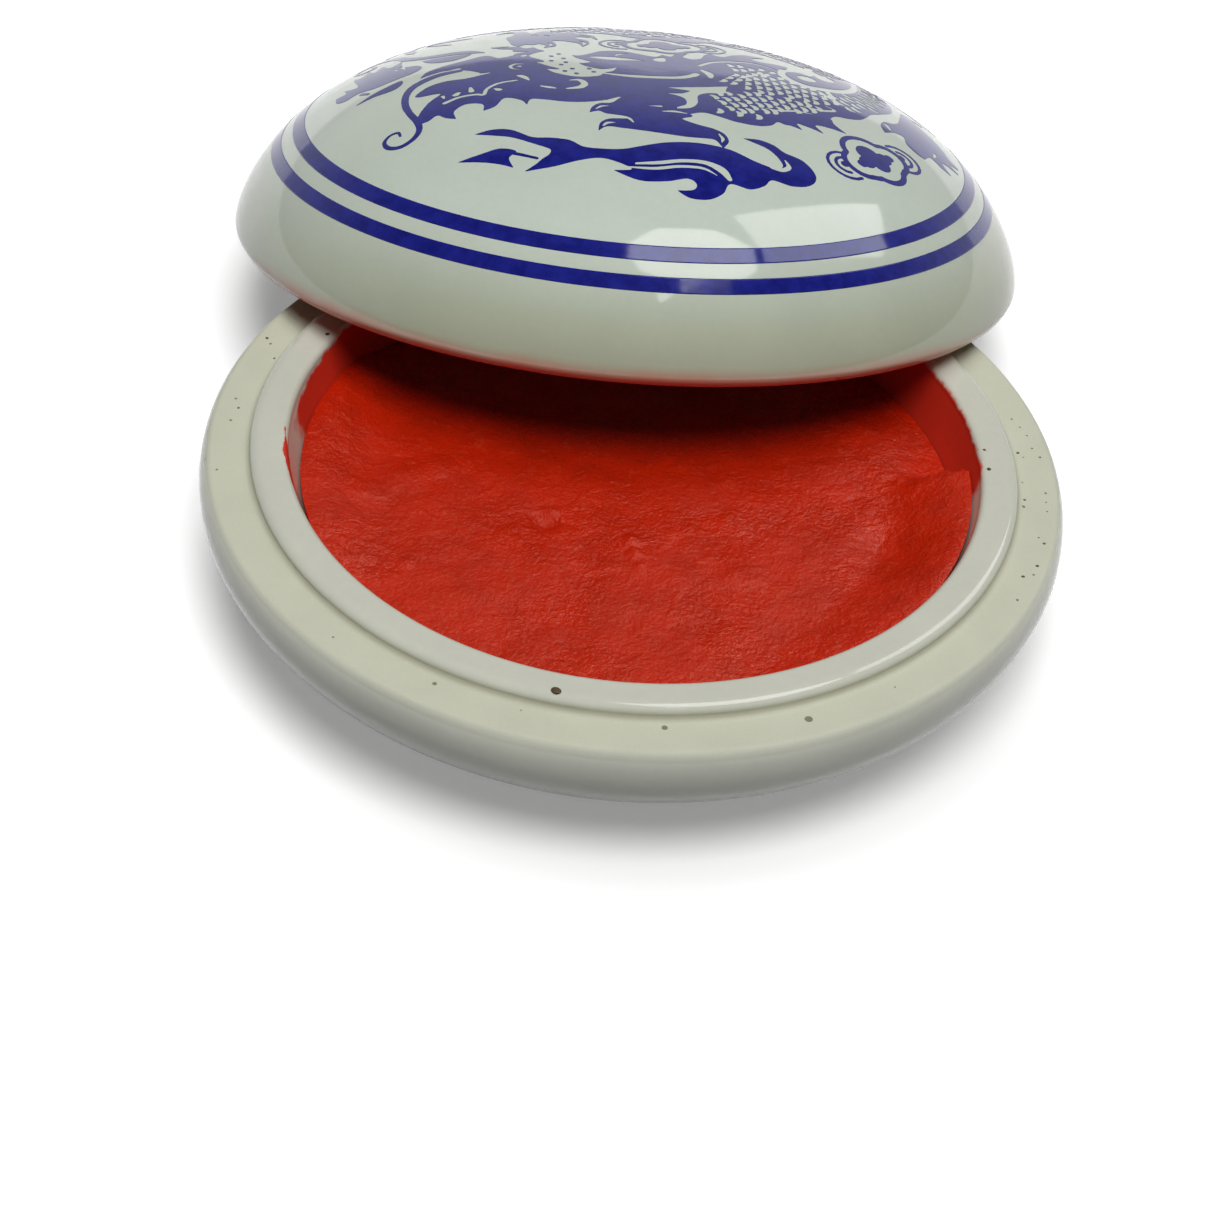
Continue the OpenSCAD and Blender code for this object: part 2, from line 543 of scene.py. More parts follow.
def make_lid(settings):
    """The lid, turned and leaned on the dish, standing for its CAD node."""
    lid = grow("lid_porcelain", lid_tree(settings), {
        **values_of(settings.lid), "radius": box_radius(settings.dish),
        "lip_radius": collar_radius(settings.dish) + settings.lid.clearance,
        "around": AROUND, "glaze": finish(settings, "lid")})
    lid.data.set_sharp_from_angle(angle=SHARP)
    lid.data.transform(lid_matrix(settings))
    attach(lid, "lid")
    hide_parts("lid")


def dome_height(settings, radius):
    """Height of the lid's outer dome at a radius, above the face of its rim."""
    lid = settings.lid
    share = (radius / box_radius(settings.dish)) ** lid.side_power
    return lid.side_height + (lid.height - lid.side_height) * (1 - share) ** (1 / lid.top_power)


def dome_normal(settings, radius):
    """The outer dome's normal at a radius, as (outward, upward)."""
    step = 0.01 * MM
    slope = (dome_height(settings, radius + step) - dome_height(settings, radius - step)) / step / 2
    size = math.hypot(slope, 1)
    return -slope / size, 1 / size


def ring_tree():
    """A painted ring: a thin flat band on the dome, between an inner and an outer edge."""
    tree, ring, result = shape_group("Painted ring", RING_INPUTS, around="Int", print="Material")
    lathe = Lathe(tree, ring["around"])
    inner = (ring["inner_radius"], ring["inner_height"])
    outer = (ring["outer_radius"], ring["outer_height"])
    inner_low = (inner[0] - ring["thickness"], inner[1] - ring["thickness"])
    outer_low = (outer[0] - ring["thickness"], outer[1] - ring["thickness"])
    lathe.line(outer, inner, 6)
    lathe.line(inner, inner_low, 1)
    lathe.line(inner_low, outer_low, 6)
    lathe.line(outer_low, outer, 1)
    finish_with(tree, lathe.weld(), ring["print"], result)
    return tree


def make_rings(settings):
    """The two rings painted round the lid."""
    prints = settings.print
    tree = ring_tree()
    for name, middle, width in (("inner_ring", prints.inner_ring, prints.inner_width),
                                ("outer_ring", prints.outer_ring, prints.outer_width)):
        edges = {}
        for edge, radius in (("inner", middle - width / 2), ("outer", middle + width / 2)):
            outward, upward = dome_normal(settings, radius)
            edges[edge + "_radius"] = radius + outward * prints.film
            edges[edge + "_height"] = dome_height(settings, radius) + upward * prints.film
        ring = grow(name, tree, {**edges, "thickness": prints.film + prints.bedding,
                                 "around": AROUND, "print": finish(settings, "print")})
        ring.data.transform(lid_matrix(settings))
        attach(ring, "lid")


# Specks

# Specks on the ledge and on the collar: angle in degrees, radius and width in millimetres
LEDGE_SPECKS = (
    (17, 37.0, 0.264), (15, 37.4, 0.24), (13, 37.7, 0.24), (9, 36.2, 0.36), (8, 36.6, 0.216),
    (10, 37.7, 0.264), (8, 38.2, 0.288), (2, 36.0, 0.24), (-2, 36.1, 0.312), (0, 38.1, 0.288),
    (-2, 38.1, 0.24), (-4, 38.2, 0.24), (-10, 37.7, 0.24), (-11, 38.3, 0.336), (-16, 38.3, 0.36),
    (-19, 37.5, 0.36), (-18, 38.3, 0.264), (-24, 38.1, 0.288), (161, 38.2, 0.36),
    (162, 37.5, 0.288), (165, 36.2, 0.288), (178, 37.1, 0.312), (181, 37.5, 0.288),
    (192, 38.4, 0.264), (64, 37.3, 0.312), (97, 36.8, 0.36), (128, 38.0, 0.264),
    (230, 37.6, 0.24), (310, 37.0, 0.216),
)
COLLAR_SPECKS = ((2, 32.7, 0.48), (7, 32.6, 0.36), (158, 32.7, 0.48), (-98, 34.5, 0.96))
# Depth and height of a speck's bead for each unit of its width
SPECK_DEPTH = 0.85
SPECK_HEIGHT = 0.3


def speck_tree():
    """A flat bead on every point, as wide as the point's size."""
    tree, specks, result = shape_group("Specks", (), points="Geometry", clay="Material")
    ball = add(tree, "GeometryNodeMeshIcoSphere", {"Radius": 0.5, "Subdivisions": 2})
    bead = add(tree, "GeometryNodeSetShadeSmooth", {"Geometry": ball.outputs["Mesh"]})
    size = add(tree, "GeometryNodeInputNamedAttribute", {"Name": "size"}, data_type="FLOAT")
    width = Value(tree, size.outputs[0])
    scale = add(tree, "ShaderNodeCombineXYZ", {
        "X": width, "Y": width * SPECK_DEPTH, "Z": width * SPECK_HEIGHT})
    turn = add(tree, "FunctionNodeRandomValue", {2: 0.0, 3: math.pi, "Seed": 4})
    rotation = add(tree, "ShaderNodeCombineXYZ", {"Z": turn.outputs[1]})
    beads = add(tree, "GeometryNodeInstanceOnPoints", {
        "Points": specks["points"], "Instance": bead.outputs[0], "Scale": scale.outputs[0],
        "Rotation": rotation.outputs[0]})
    finish_with(tree, beads.outputs[0], specks["clay"], result)
    return tree


def make_specks(settings):
    """The dark iron specks on the ledge and the collar."""
    dish = settings.dish
    places = []
    sizes = []
    for specks, height in ((LEDGE_SPECKS, dish.ledge_height), (COLLAR_SPECKS, collar_top(dish))):
        for degrees, radius, size in specks:
            turn = math.radians(degrees)
            places.append((radius * MM * math.cos(turn), radius * MM * math.sin(turn), height))
            sizes.append(size * MM)
    points = bpy.data.meshes.new("speck_points")
    points.from_pydata(places, [], [])
    points.attributes.new("size", "FLOAT", "POINT").data.foreach_set("value", sizes)
    specks = grow("specks", speck_tree(), {"clay": finish(settings, "speck")}, points)
    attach(specks, "base")


# The print

# The drawing's middle on the lid in millimetres, and its width for each millimetre drawn
DRAWING_MIDDLE = (1.8, 0.6)
DRAWING_SCALE = 0.98
# Steps of each stretch of a drawn curve
CURVE_STEPS = 6
# Cell of the grid that the print is drawn on, and its half width, in millimetres
INK_CELL = 0.1
INK_REACH = 33.0
# Radius that the print stays within, in millimetres
INK_EDGE = 32.8
# A distance in millimetres larger than any that matters to the ink
FAR = 9.0
# Least length, or square of a length, that is divided by
LEAST = 1e-9
# Rows of scales, in millimetres: spacing along a row and from row to row, the bare edge of the
# body on both sides together, and the least distance of a scale from one side
SCALE_PITCH = 1.5
SCALE_ROW = 0.96
SCALE_MARGIN = 1.0
SCALE_EDGE = 0.6
# A scale's crescent, in millimetres: half its height and width, and its line's width. Then the
# angle of its ends, and how fast the line thins towards them
SCALE_RISE = 0.42
SCALE_REACH = 0.54
SCALE_LINE = 0.66
SCALE_ENDS = 1.1
SCALE_THINNING = 0.8
# Distance along a body over which its direction is taken, in millimetres
SCALE_LOOK = 0.2
# Curls at the side of a cloud: reach for each unit of the cloud's size, and angles of the ends
CLOUD_CURLS = ((0.3, -2.2, 1.7), (0.17, -1.9, 1.2))
# Middle of the curls for each unit of the cloud's size, and their line's width in millimetres
CURL_MIDDLE = 0.66
CURL_LINE = 0.34
# Layers of a cloud's heart: millimetres round its lobes, and whether they are inked
CLOUD_LAYERS = ((1.75, True), (1.15, False), (0.1, True))


def on_lid(x, y):
    """The place on the lid of a point of the drawing."""
    return DRAWING_MIDDLE[0] + DRAWING_SCALE * x, DRAWING_MIDDLE[1] + y


def curves_of(text):
    """The points of some drawn lines parted by semicolons, and which of them are sharp tips.

    A point is "x y" or "x y width", with a star after a sharp tip. A width holds until the next.
    """
    width = []
    for line in text.split(";"):
        points = []
        sharp = []
        for item in line.split(","):
            x, y, *given = (float(part) for part in item.strip(" *").split())
            width = given or width
            sharp.append(item.strip().endswith("*"))
            points.append([*on_lid(x, y), *width])
        yield np.array(points), sharp


def curve_through(points, sharp, closed):
    """A smooth curve through the points of a drawn line, with its sharp tips kept."""
    count = len(points)
    share = np.linspace(0, 1, CURVE_STEPS, endpoint=False)[:, None]
    made = []
    for i in range(count if closed else count - 1):
        j = (i + 1) % count
        here, there = points[i], points[j]
        before = here if sharp[i] or (i == 0 and not closed) else points[i - 1]
        after = there if sharp[j] or (j == count - 1 and not closed) else points[(j + 1) % count]
        leave = (there - before) / 2
        arrive = (after - here) / 2
        made.append((2 * share ** 3 - 3 * share ** 2 + 1) * here
                    + (share ** 3 - 2 * share ** 2 + share) * leave
                    + (3 * share ** 2 - 2 * share ** 3) * there
                    + (share ** 3 - share ** 2) * arrive)
    if not closed:
        made.append(points[-1:])
    return np.concatenate(made)


def nearest(x, y, here, there):
    """The share of a stretch where places are nearest to it, and their distance from it."""
    (ax, ay), (bx, by) = here[:2], there[:2]
    size = max((bx - ax) ** 2 + (by - ay) ** 2, LEAST)
    share = np.clip(((x - ax) * (bx - ax) + (y - ay) * (by - ay)) / size, 0, 1)
    return share, np.hypot(x - ax - share * (bx - ax), y - ay - share * (by - ay))


class Ink:
    """The print's plan: a grid of distances to the edge of the ink, above 0 inside it."""

    def __init__(self):
        self.axis = np.arange(-INK_REACH, INK_REACH + INK_CELL / 2, INK_CELL)
        self.field = np.full((len(self.axis), len(self.axis)), -FAR)

    def paint(self, low, high, depth_of, inked=True):
        """Adds ink, or takes it away, where depth_of says, between two corners."""
        x0, y0 = (max(0, int((v + INK_REACH) / INK_CELL) - 2) for v in low)
        x1, y1 = (int((v + INK_REACH) / INK_CELL) + 4 for v in high)
        x, y = np.meshgrid(self.axis[x0:x1], self.axis[y0:y1])
        depth = depth_of(x, y)
        part = self.field[y0:y1, x0:x1]
        part[:] = np.maximum(part, depth) if inked else np.minimum(part, -depth)

    def depth(self, places):
        """Depth inside the ink at some places."""
        spots = (places + INK_REACH) / INK_CELL
        cells = np.clip(spots.astype(int), 0, len(self.axis) - 2)
        x, y = (spots - cells).T
        column, row = cells.T
        field = self.field
        return ((field[row, column] * (1 - x) + field[row, column + 1] * x) * (1 - y)
                + (field[row + 1, column] * (1 - x) + field[row + 1, column + 1] * x) * y)

    def stroke(self, curve, inked=True):
        """A line along a curve of points with widths."""
        def depth_of(x, y):
            best = np.full(x.shape, -FAR)
            for here, there in zip(curve[:-1], curve[1:]):
                share, gap = nearest(x, y, here, there)
                best = np.maximum(best, (here[2] + share * (there[2] - here[2])) / 2 - gap)
            return best
        wide = curve[:, 2].max() / 2
        self.paint(curve[:, :2].min(0) - wide, curve[:, :2].max(0) + wide, depth_of, inked)

    def fill(self, curve, inked=True):
        """The inside of a closed curve."""
        def depth_of(x, y):
            gap = np.full(x.shape, FAR)
            inside = np.zeros(x.shape, bool)
            for (ax, ay), (bx, by) in zip(curve, np.roll(curve, -1, 0)):
                gap = np.minimum(gap, nearest(x, y, (ax, ay), (bx, by))[1])
                if ay != by:
                    inside ^= ((ay > y) != (by > y)) & (x < (bx - ax) * (y - ay) / (by - ay) + ax)
            return np.where(inside, gap, -gap)
        self.paint(curve.min(0), curve.max(0), depth_of, inked)

    def draw(self, kind, text):
        """One item of the drawing."""
        closed = kind in ("mass", "hole")
        for points, sharp in curves_of(text):
            curve = curve_through(points, sharp, closed)
            if closed:
                self.fill(curve, kind == "mass")
            elif kind in ("line", "gap"):
                self.stroke(curve, kind == "line")
            else:
                self.scales(curve, kind)

    def scales(self, spine, kind):
        """Staggered rows of bare crescents along a spine whose points hold the body's width."""
        steps = np.hypot(*np.diff(spine[:, :2], axis=0).T)
        run = np.concatenate([[0], np.cumsum(steps)])

        def at(distance):
            """The spine's place and width at a distance along it."""
            return np.array([np.interp(distance, run, column) for column in spine.T])

        facing = -1 if "back" in kind else 1
        for row, distance in enumerate(np.arange(SCALE_PITCH / 2, run[-1], SCALE_ROW)):
            *place, width = at(distance)
            along = (at(distance + SCALE_LOOK) - at(distance - SCALE_LOOK))[:2]
            along = along / max(np.hypot(*along), LEAST) * facing
            across = np.array([-along[1], along[0]])
            count = int((width - SCALE_MARGIN) / SCALE_PITCH + 0.5)
            for column in range(count + 1):
                off = (column - count / 2 + (0.5 if row % 2 else 0)) * SCALE_PITCH
                if abs(off) <= width / 2 - SCALE_EDGE:
                    self.crescent(np.array(place) + across * off, along, across)

    def crescent(self, middle, along, across):
        """One bare scale, thick in its middle and thin at its ends."""
        arc = []
        for turn in np.linspace(-SCALE_ENDS, SCALE_ENDS, 5):
            spot = (middle + along * SCALE_RISE * math.cos(turn)
                    + across * SCALE_REACH * math.sin(turn))
            arc.append((*spot, SCALE_LINE * math.cos(turn * SCALE_THINNING)))
        self.stroke(np.array(arc), False)

    def dot(self, place, width, inked=True):
        """A round dot."""
        self.stroke(np.array([[*place, width]] * 2), inked)

    def cloud(self, place, size, turn, swell):
        """A scrolled cloud: a lobed heart, an outline round it, and curls at both sides."""
        def spot(u, v):
            c, s = math.cos(turn), math.sin(turn)
            return place[0] + size * (u * c - v * s), place[1] + size * (u * s + v * c)

        def dots(circles, extra, inked):
            for u, v, radius in circles:
                self.dot(spot(u, v), 2 * (radius * size + extra), inked)

        for side in (-1, 1):
            for reach, start, end in CLOUD_CURLS:
                arc = []
                for bend in np.linspace(start, end, 12):
                    x, y = spot(side * (CURL_MIDDLE + reach * math.cos(bend)),
                                side * reach * math.sin(bend) * 0.95)
                    arc.append((x, y, CURL_LINE))
                self.stroke(np.array(arc))
            dots(((side * 0.6, 0.02, 0.02), (side * 0.68, 0.02, 0.045)), 0.1, True)
        lobes = ((0.0, 0.12 * swell, 0.15 * swell), (-0.2, -0.02, 0.11), (0.22, 0.0, 0.11),
                 (-0.33, -0.03, 0.06), (0.36, 0.01, 0.06), (0.04, -0.1, 0.12 * swell))
        for extra, inked in CLOUD_LAYERS:
            dots(lobes, extra, inked)


# Clouds: place and size in millimetres, turn in degrees, and how swelled the heart is
CLOUDS = (
    ((0.6, 30.9), 7.2, -6, 0.95), ((-18.3, 26.0), 7.3, 27, 0.95), ((26.2, 14.8), 6.9, -63, 0.95),
    ((0.0, 7.8), 6.9, 14, 1.1), ((22.0, -13.8), 6.6, 49, 1.15),
)

# The drawing in millimetres, in the order that it is painted. Masses and lines are ink,
# holes and gaps are bare, and scales are rows of bare crescents along a body.
DRAWING = (
    # Fins along the back of the upper body, and the mass between it and the far leg
    ("mass", "-23.4 19.2, -23.6 19.9, -24.9 20.3*, -23.4 21, -21 20.7, -19.3 21, -19.1 21.7,"
     "-20.6 22.2*, -19.4 22.6, -17.8 22.3, -16.3 21.4, -15.5 21.8, -16.1 22.9*, -14.4 22.9,"
     "-13.4 23.8, -13.8 24.7, -15.6 25*, -13.2 25.4, -11.6 24.9, -10.9 25.5, -11.5 26.4*,"
     "-9.6 26.7, -7.9 26.6, -7.8 27.5, -9.2 28.5*, -7 28.4, -5.8 27.6, -5.1 26.7, -4.3 26.7,"
     "-4.1 27.9*, -3 27, -1.9 26.7, -1 27, -1.3 28.1*, 0.2 27.5, 1.1 26, 1.6 24.6, 2.4 24.4,"
     "2.7 25.6*, 3.6 24.8, 5 26.5, 7 27.2, 9.5 27.4, 11 27.3, 11.2 28.3, 10.8 30.6*, 12.2 29.1,"
     "14 28.9, 15.6 28.2, 17 26.9, 18.8 26.2, 19.8 25, 20.3 25.4*, 20.5 24.2, 19.8 23.6, 18.2 23.9,"
     "17.2 24.4, 16.9 23.8, 17.5 22.6, 18.4 21.6, 19.2 22.3*, 18.3 21.2, 17 21.2, 15.5 21.6,"
     "14.6 22.2, 14.2 21, 13.9 19.5, 15.2 18.9, 16 19.4*, 16.1 18.4, 17.2 17.8, 18.2 18.4,"
     "18.2 19.4, 17.5 20.3*, 19 19.5, 20 17.6, 20.1 16, 20.6 15.6, 20.9 16.9*, 21.5 15.4,"
     "21.5 13.6, 20.8 12.6, 19.9 11.4, 18.6 11.5, 16 14, 12 16, 5 17, 0 21.5, -5 23.4, -9 22.6,"
     "-13 19, -20 17.2"),
    # Upper body, its tail end rounded
    ("mass", "-24.8 14.6, -24.5 16.6, -22.6 18.4, -20 19.1, -17 19.5, -15 20, -13.5 21.1, -12 22.4,"
     "-10.5 23.8, -9 24.9, -7 25.5, -5 25.7, -3 25.4, -1 24.6, 0.9 23, 2.5 21.3, 4 20, 5.6 19.2,"
     "7.5 18.7, 10 18.2, 12.5 17.9, 14.5 17.1, 16.5 16, 18 14.5, 19 12.8, 19.8 11.2, 17.2 7.9,"
     "16.2 8.7, 15 9.2, 13.4 10.2, 12 11, 10 11.7, 8 12.4, 5.2 13, 4.6 12.9, 3.4 11.6, 1.8 11,"
     "0 10.8, -2 10.7, -3.6 10.9, -5.2 11.6, -7 12, -9 11.7, -10.5 10.7, -12.5 10.2, -13.8 10.6,"
     "-12.6 12.9, -10 14.8, -8.2 16.6, -6.2 17.7, -6 18.2, -7.6 18.9, -9.8 17.9, -11.5 17,"
     "-13 16.1, -15 15.4, -17 15.2, -20 14.1, -22.4 13.3, -23.9 13.2"),
    ("scales", "-24.4 15.2 3.4, -22 16 4.2, -18.5 17 4.1, -15 17.6 4.2, -12.4 19.1 4.4, -10 21 5.4,"
     "-7.6 22.2 5.8, -5 22.8 5"),
    ("scales", "-3.8 22.6 5, -1.2 21.4 6, 1 19.4 6.4, 3.2 17.3 5.6, 5.4 16.2 5"),
    ("scales", "6.6 15.9 5.2, 9.4 15 6.2, 12.4 14.3 6.8, 15 12.8 6.4, 16.9 10.6 5, 17.4 9.2 2.6"),
    ("scales", "-12.9 11.6 2.4, -11 12.8 4, -8.6 14.2 5.2, -6 14.9 5.6, -3 14.9 5.4, 0 15.6 5,"
     "2.6 16.4 3.6"),
    ("gap", "-22.6 13.2 0.3, -24.2 13.4 0.35, -24.8 15 0.4, -24.2 16.9, -22.5 18.4, -20 19.1,"
     "-17 19.5, -15 20, -13.5 21.1, -12 22.4, -10.5 23.8, -9 24.9, -7 25.5 0.42, -5 25.7, -3 25.4,"
     "-1 24.6, 0.9 23, 2.5 21.3 0.45, 4 20 0.5, 5.6 19.2 0.55, 7.5 18.7 0.6, 10 18.3,"
     "12.5 17.9 0.55, 14.5 17.2, 16.5 16, 18 14.5, 19 12.8 0.5, 19.7 11.4 0.4"),
    ("gap", "-4.2 12.3 0.4, -2.6 12.9 0.45, -0.4 13, 1 13.9, 2.6 14.6 0.4, 4.6 15.6 0.3"),
    ("gap", "-10.6 10.4 0.4, -8.4 11.3 0.3, -6 11.5 0.1"),
    ("gap", "-10.4 20 0.45, -8.2 20.2 0.4, -6.4 19.7 0.3, -5.2 20.3 0.1"),
    ("gap", "-6.4 21 0.5, -4.7 20.8 0.2"),
    # Belly line of the upper body, cut into plates
    ("gap", "-22.2 14.2 0.1, -20 14.9 0.5, -17 16, -14.6 16.1, -12.6 17, -10 18.3 0.6,"
     "-7 19.2 0.2"),
    ("gap", "5 14.2 0.3, 7.2 13.6 0.7, 9.4 13, 11.4 12.2, 13.4 11.3 0.6, 15.4 10.1 0.5,"
     "16.6 9.3 0.3"),
    ("line", "-20.9 13.5 0.3, -20.6 15; -18.9 14.2, -18.8 16; -16.8 14.8, -16.9 16.4; -14.8 14.9,"
     "-14.9 16.6; -12.9 15.8, -13.2 17.4; -11 17, -11.4 18.4; 6.2 13.1, 7 14.6; 8.2 12.6, 9 14.2;"
     "10.2 11.8, 11 13.4; 12.2 10.8, 13 12.4; 14.2 9.6, 15 11.2"),
    # Far leg with its scales, and its claw
    ("scales", "4.4 24.9 2.2, 6.6 26 2.6, 9 26.2 2.8, 11.4 26.2 3, 13.4 26.3 3.2, 14.8 25.6 2.6"),
    ("gap", "7.8 21 0.8, 8.5 22.4 0.7, 9.6 23.6, 11.5 24.6 0.5"),
    ("gap", "3.8 23.2 0.5, 5.4 23.1 0.2; 6.3 24.6 0.6, 7.2 23.9 0.4; 10.4 21.6 0.6, 10.6 21.1;"
     "11.4 21.8, 11.7 20.8; 7.3 23 0.3, 7.4 22.4; 12 29.4, 11.8 28.6 0.35, 12.3 28.2 0.1;"
     "16.9 22.8, 17.2 22.2 0.35, 17.9 21.9 0.1; 20 24.9, 20.1 24.3 0.35"),
    # Tail flames
    ("mass", "-23.2 19.3, -26 18.7, -27.7 17.8, -28.8 16.2, -29 14.7*, -28.2 15.3, -27.1 16.2,"
     "-26.7 15.9, -27.9 14.9, -28.6 13.5, -29.1 11.5, -29.2 8.8*, -28.5 10.8, -27.9 12.1,"
     "-27.1 12.7, -27.5 10.8, -27.1 9, -26.4 9, -26.1 10.4, -25.4 11.9, -25 9.8*, -23.9 10.6,"
     "-22.6 9.9, -20.2 9.9*, -21.4 10.8, -22.1 12, -22.3 13.2, -23.6 13, -24.7 13.6, -25.1 15,"
     "-24.7 17, -23.3 18.6"),
    ("mass", "-27.2 8.4*, -26.1 8.5*, -25.8 7.4, -26 6*, -26.8 7"),
    ("mass", "-24.8 9.4*, -23.3 9.6*, -22.9 8.2, -22.1 7.1*, -23.5 7.8"),
    # Claw under the upper body
    ("mass", "-17.8 11*, -17.3 12.3, -15.9 13.1, -14.8 12.5, -14.4 11.2, -13.8 10.6, -12 10.6,"
     "-10.4 11.1, -8.8 11, -7.4 10, -6.9 8.1*, -7.8 9, -9 9.2, -9.2 8.3, -8 7.4, -7.7 6, -8.3 4.3*,"
     "-8.9 5.9, -10.2 6.5, -11.6 6.6, -11.2 5.2, -11.1 4, -12.3 3*, -12.2 4.3, -13.2 5, -14 5.8,"
     "-14.3 4.4, -15.2 3.3, -16.4 3.5, -17.8 3.1*, -16.8 2.4, -15.4 2.1, -15.2 1.2, -12.2 1.4,"
     "-12.9 2.4, -13.3 3.1*, -14.2 2.6, -14.9 3.4, -15.7 4.4, -16.1 6, -16.5 8.2, -15.9 9.6,"
     "-16 11.4, -17 11.6"),
    ("gap", "-17.3 2.6 0.1, -16.3 3 0.3, -15.4 3.4 0.1; -11.9 3.7, -11.6 4.6 0.3, -12 5.4 0.1;"
     "-8.3 5.2, -8.2 6.2 0.35, -8.8 7 0.1; -7.5 8.8, -8 9.7 0.3, -8.9 10 0.1; -13.7 9.5 0.55,"
     "-13.6 9.4; -12.4 9.3 0.5, -12.3 9.2; -17.2 11.6 0.1, -16.5 12.2 0.3, -15.9 12.1 0.1"),
    ("line", "-13.7 5 1.5, -13.5 7 2"),
    # Lower body: down the right, back under the curl and on to the neck
    ("mass", "20.9 10, 21.3 12.2, 22 12.8*, 22.6 11.6, 23.3 10.2*, 23.8 9, 24.3 6.6, 24.5 4.2,"
     "24.2 1.8, 23 -0.6, 22 -2.2, 21.4 -4, 20.6 -5.6, 19.4 -6.6, 18 -7.3, 17.4 -8.6, 16.8 -9.4,"
     "15.4 -9.3, 14.4 -10, 14 -12.4, 13 -13.2, 12.1 -13, 11.4 -14.2, 10 -15, 8 -15.1, 6.4 -14.6,"
     "4.6 -14.2, 2.6 -15.6, 0.6 -16.6, -2 -16, -3.4 -12.6, -5 -13.6, -6.8 -14.4, -9 -14.6,"
     "-10.9 -14.2, -12.4 -14.1, -12.7 -15.5*, -13.3 -14.4, -14.5 -13.7, -15.2 -13.9, -15.8 -15.5,"
     "-16.9 -16.3*, -17 -15, -17.8 -14.5, -19 -14.6, -19.8 -15.8, -19.4 -17.3*, -20.5 -16.8,"
     "-21.4 -16, -22.2 -16.8, -23 -16.8, -23.3 -15.4, -22.6 -13, -21.6 -11.2, -23.8 -11.1,"
     "-24.2 -10, -23 -8.7, -21.5 -7.9, -19.5 -7.5, -18 -6.6, -20 -5, -22 -4.7, -24.2 -5.9*,"
     "-23.6 -4.2, -22 -2.9, -20 -1.7, -18.5 -0.5, -17.6 -0.5, -16.6 -1.4, -15.6 -0.6, -14.6 0.6,"
     "-12.4 1.4, -9 0.4, -7.6 1.4, -6.3 3, -4 3.7, -2 3, -0.6 2.7, 0 3.8*, 1 3.4, 1.4 4.6,"
     "2.6 5.3*, 2.2 3.8, 3.2 3.2, 4.1 4, 4.4 5.6, 5 6.8*, 5.8 6, 6.6 6.2, 7.3 7.4, 8.8 8.8,"
     "10.8 8.9*, 9.7 7.9, 9.5 7, 10.5 6.6, 12 6.9, 13.3 6.9*, 13.1 5.6, 12.4 5.2, 12.3 3.6,"
     "12.7 1.6, 14 0, 16 -0.3, 18.4 1, 20.2 3.5, 20.8 6.6"),
    ("scales", "22.3 10.8 2.8, 22.7 8.4 3.2, 22.6 5.6 3.8, 22 2.8 4, 20.6 0 4.6, 18.4 -2.6 7.4"),
    ("scales back", "18.2 -1.4 6, 16.3 -1.8 7.4, 13.6 -2 8, 11 -2.4, 8.4 -2.6 7, 6.6 -2 5"),
    ("scales back", "16.8 -6.4 3, 14 -7.4 5, 11.2 -8.4 6, 8.4 -9.6 6.6, 6 -11 5"),
    ("scales back", "11.6 -12.8 2.4, 9.4 -12.9 2.6, 7 -13.2 2.2, 4.8 -13 1.8"),
    ("scales", "6.4 1.6 2.4, 8.4 2.2 3.6, 10.4 2.2 3.4, 11.8 1.6 2.4"),
    ("gap", "4 1 0.5, 5.3 3, 7.5 4.5, 9.8 5.2, 11.9 4.4 0.3"),
    ("gap", "20.6 10.6 0.5, 20.7 8, 20.3 5, 19.3 2.5, 17.5 0.8, 15.3 0.2, 13.5 0.8, 12.5 2.3,"
     "12.4 4.2 0.4"),
    ("gap", "17 -5 0.2, 18 -5.6 0.4, 16.4 -6.9 0.45, 14.4 -6.9 0.2"),
    ("gap", "15.8 -8.6 0.1, 14 -9 0.4, 12.2 -10, 10.4 -10.2 0.1"),
    ("mass", "12.6 -12.6, 14.6 -13.4*, 14 -12.2, 15.2 -12.3, 16.8 -12.7*, 15.9 -11.4, 17 -10.9,"
     "19.1 -10.8*, 17.9 -9.6, 17.4 -8.4, 15.5 -8.8, 13 -10.5"),
    # Claw on the right
    ("mass", "25.5 3.8, 25.6 5.1, 26.6 5.7, 28.2 5.8*, 27 5, 27 4.2, 28.2 2.9, 29.3 1.5, 30.2 0,"
     "30.6 -1.2, 32.2 -1.7*, 31.2 -2.3, 30.6 -3, 31.9 -3.7*, 30.4 -3.9, 29.6 -4.6, 30.6 -6*,"
     "29.3 -5.9, 28.3 -5.4, 27.6 -7*, 26.6 -6.9, 25.6 -5.9, 25.4 -4.4, 24.4 -4.6, 23.3 -6*,"
     "22.9 -4.4, 23.3 -2.8, 24.4 -1.8, 25 -0.2, 25.2 1.8"),
    ("gap", "23.5 -3.4 0.5, 23.9 -4.3 0.4; 28.7 -4.6 0.15, 28.9 -3.4 0.4"),
    # Curl of the body
    ("mass", "20.2 10.2*, 20.2 7, 19.6 4.6, 18.6 2.8, 17 1.4, 15.2 0.8, 13.8 1.6, 13 3.2, 13.3 4.6,"
     "14.6 5.4, 15.6 5.1, 16.1 6.2*, 16.6 5.2, 17.6 5, 18.3 5.8, 18.2 7, 17.5 7.9, 19 9.4"),
    ("hole", "15.3 4.6, 14.4 4, 14.3 3, 15.2 2.4, 16.1 2.9, 16.2 4"),
    ("gap", "17.2 7.8 0.4, 21 11.2; 21.3 11 0.5, 23.6 9.8 0.3"),
    # White shapes in the head, the neck and the mane
    ("hole", "-12.5 1.5*, -10.6 1.6, -9.3 0.5, -8.6 -0.5, -7.2 -1.6, -8.3 -2.5*, -7.4 -3.4,"
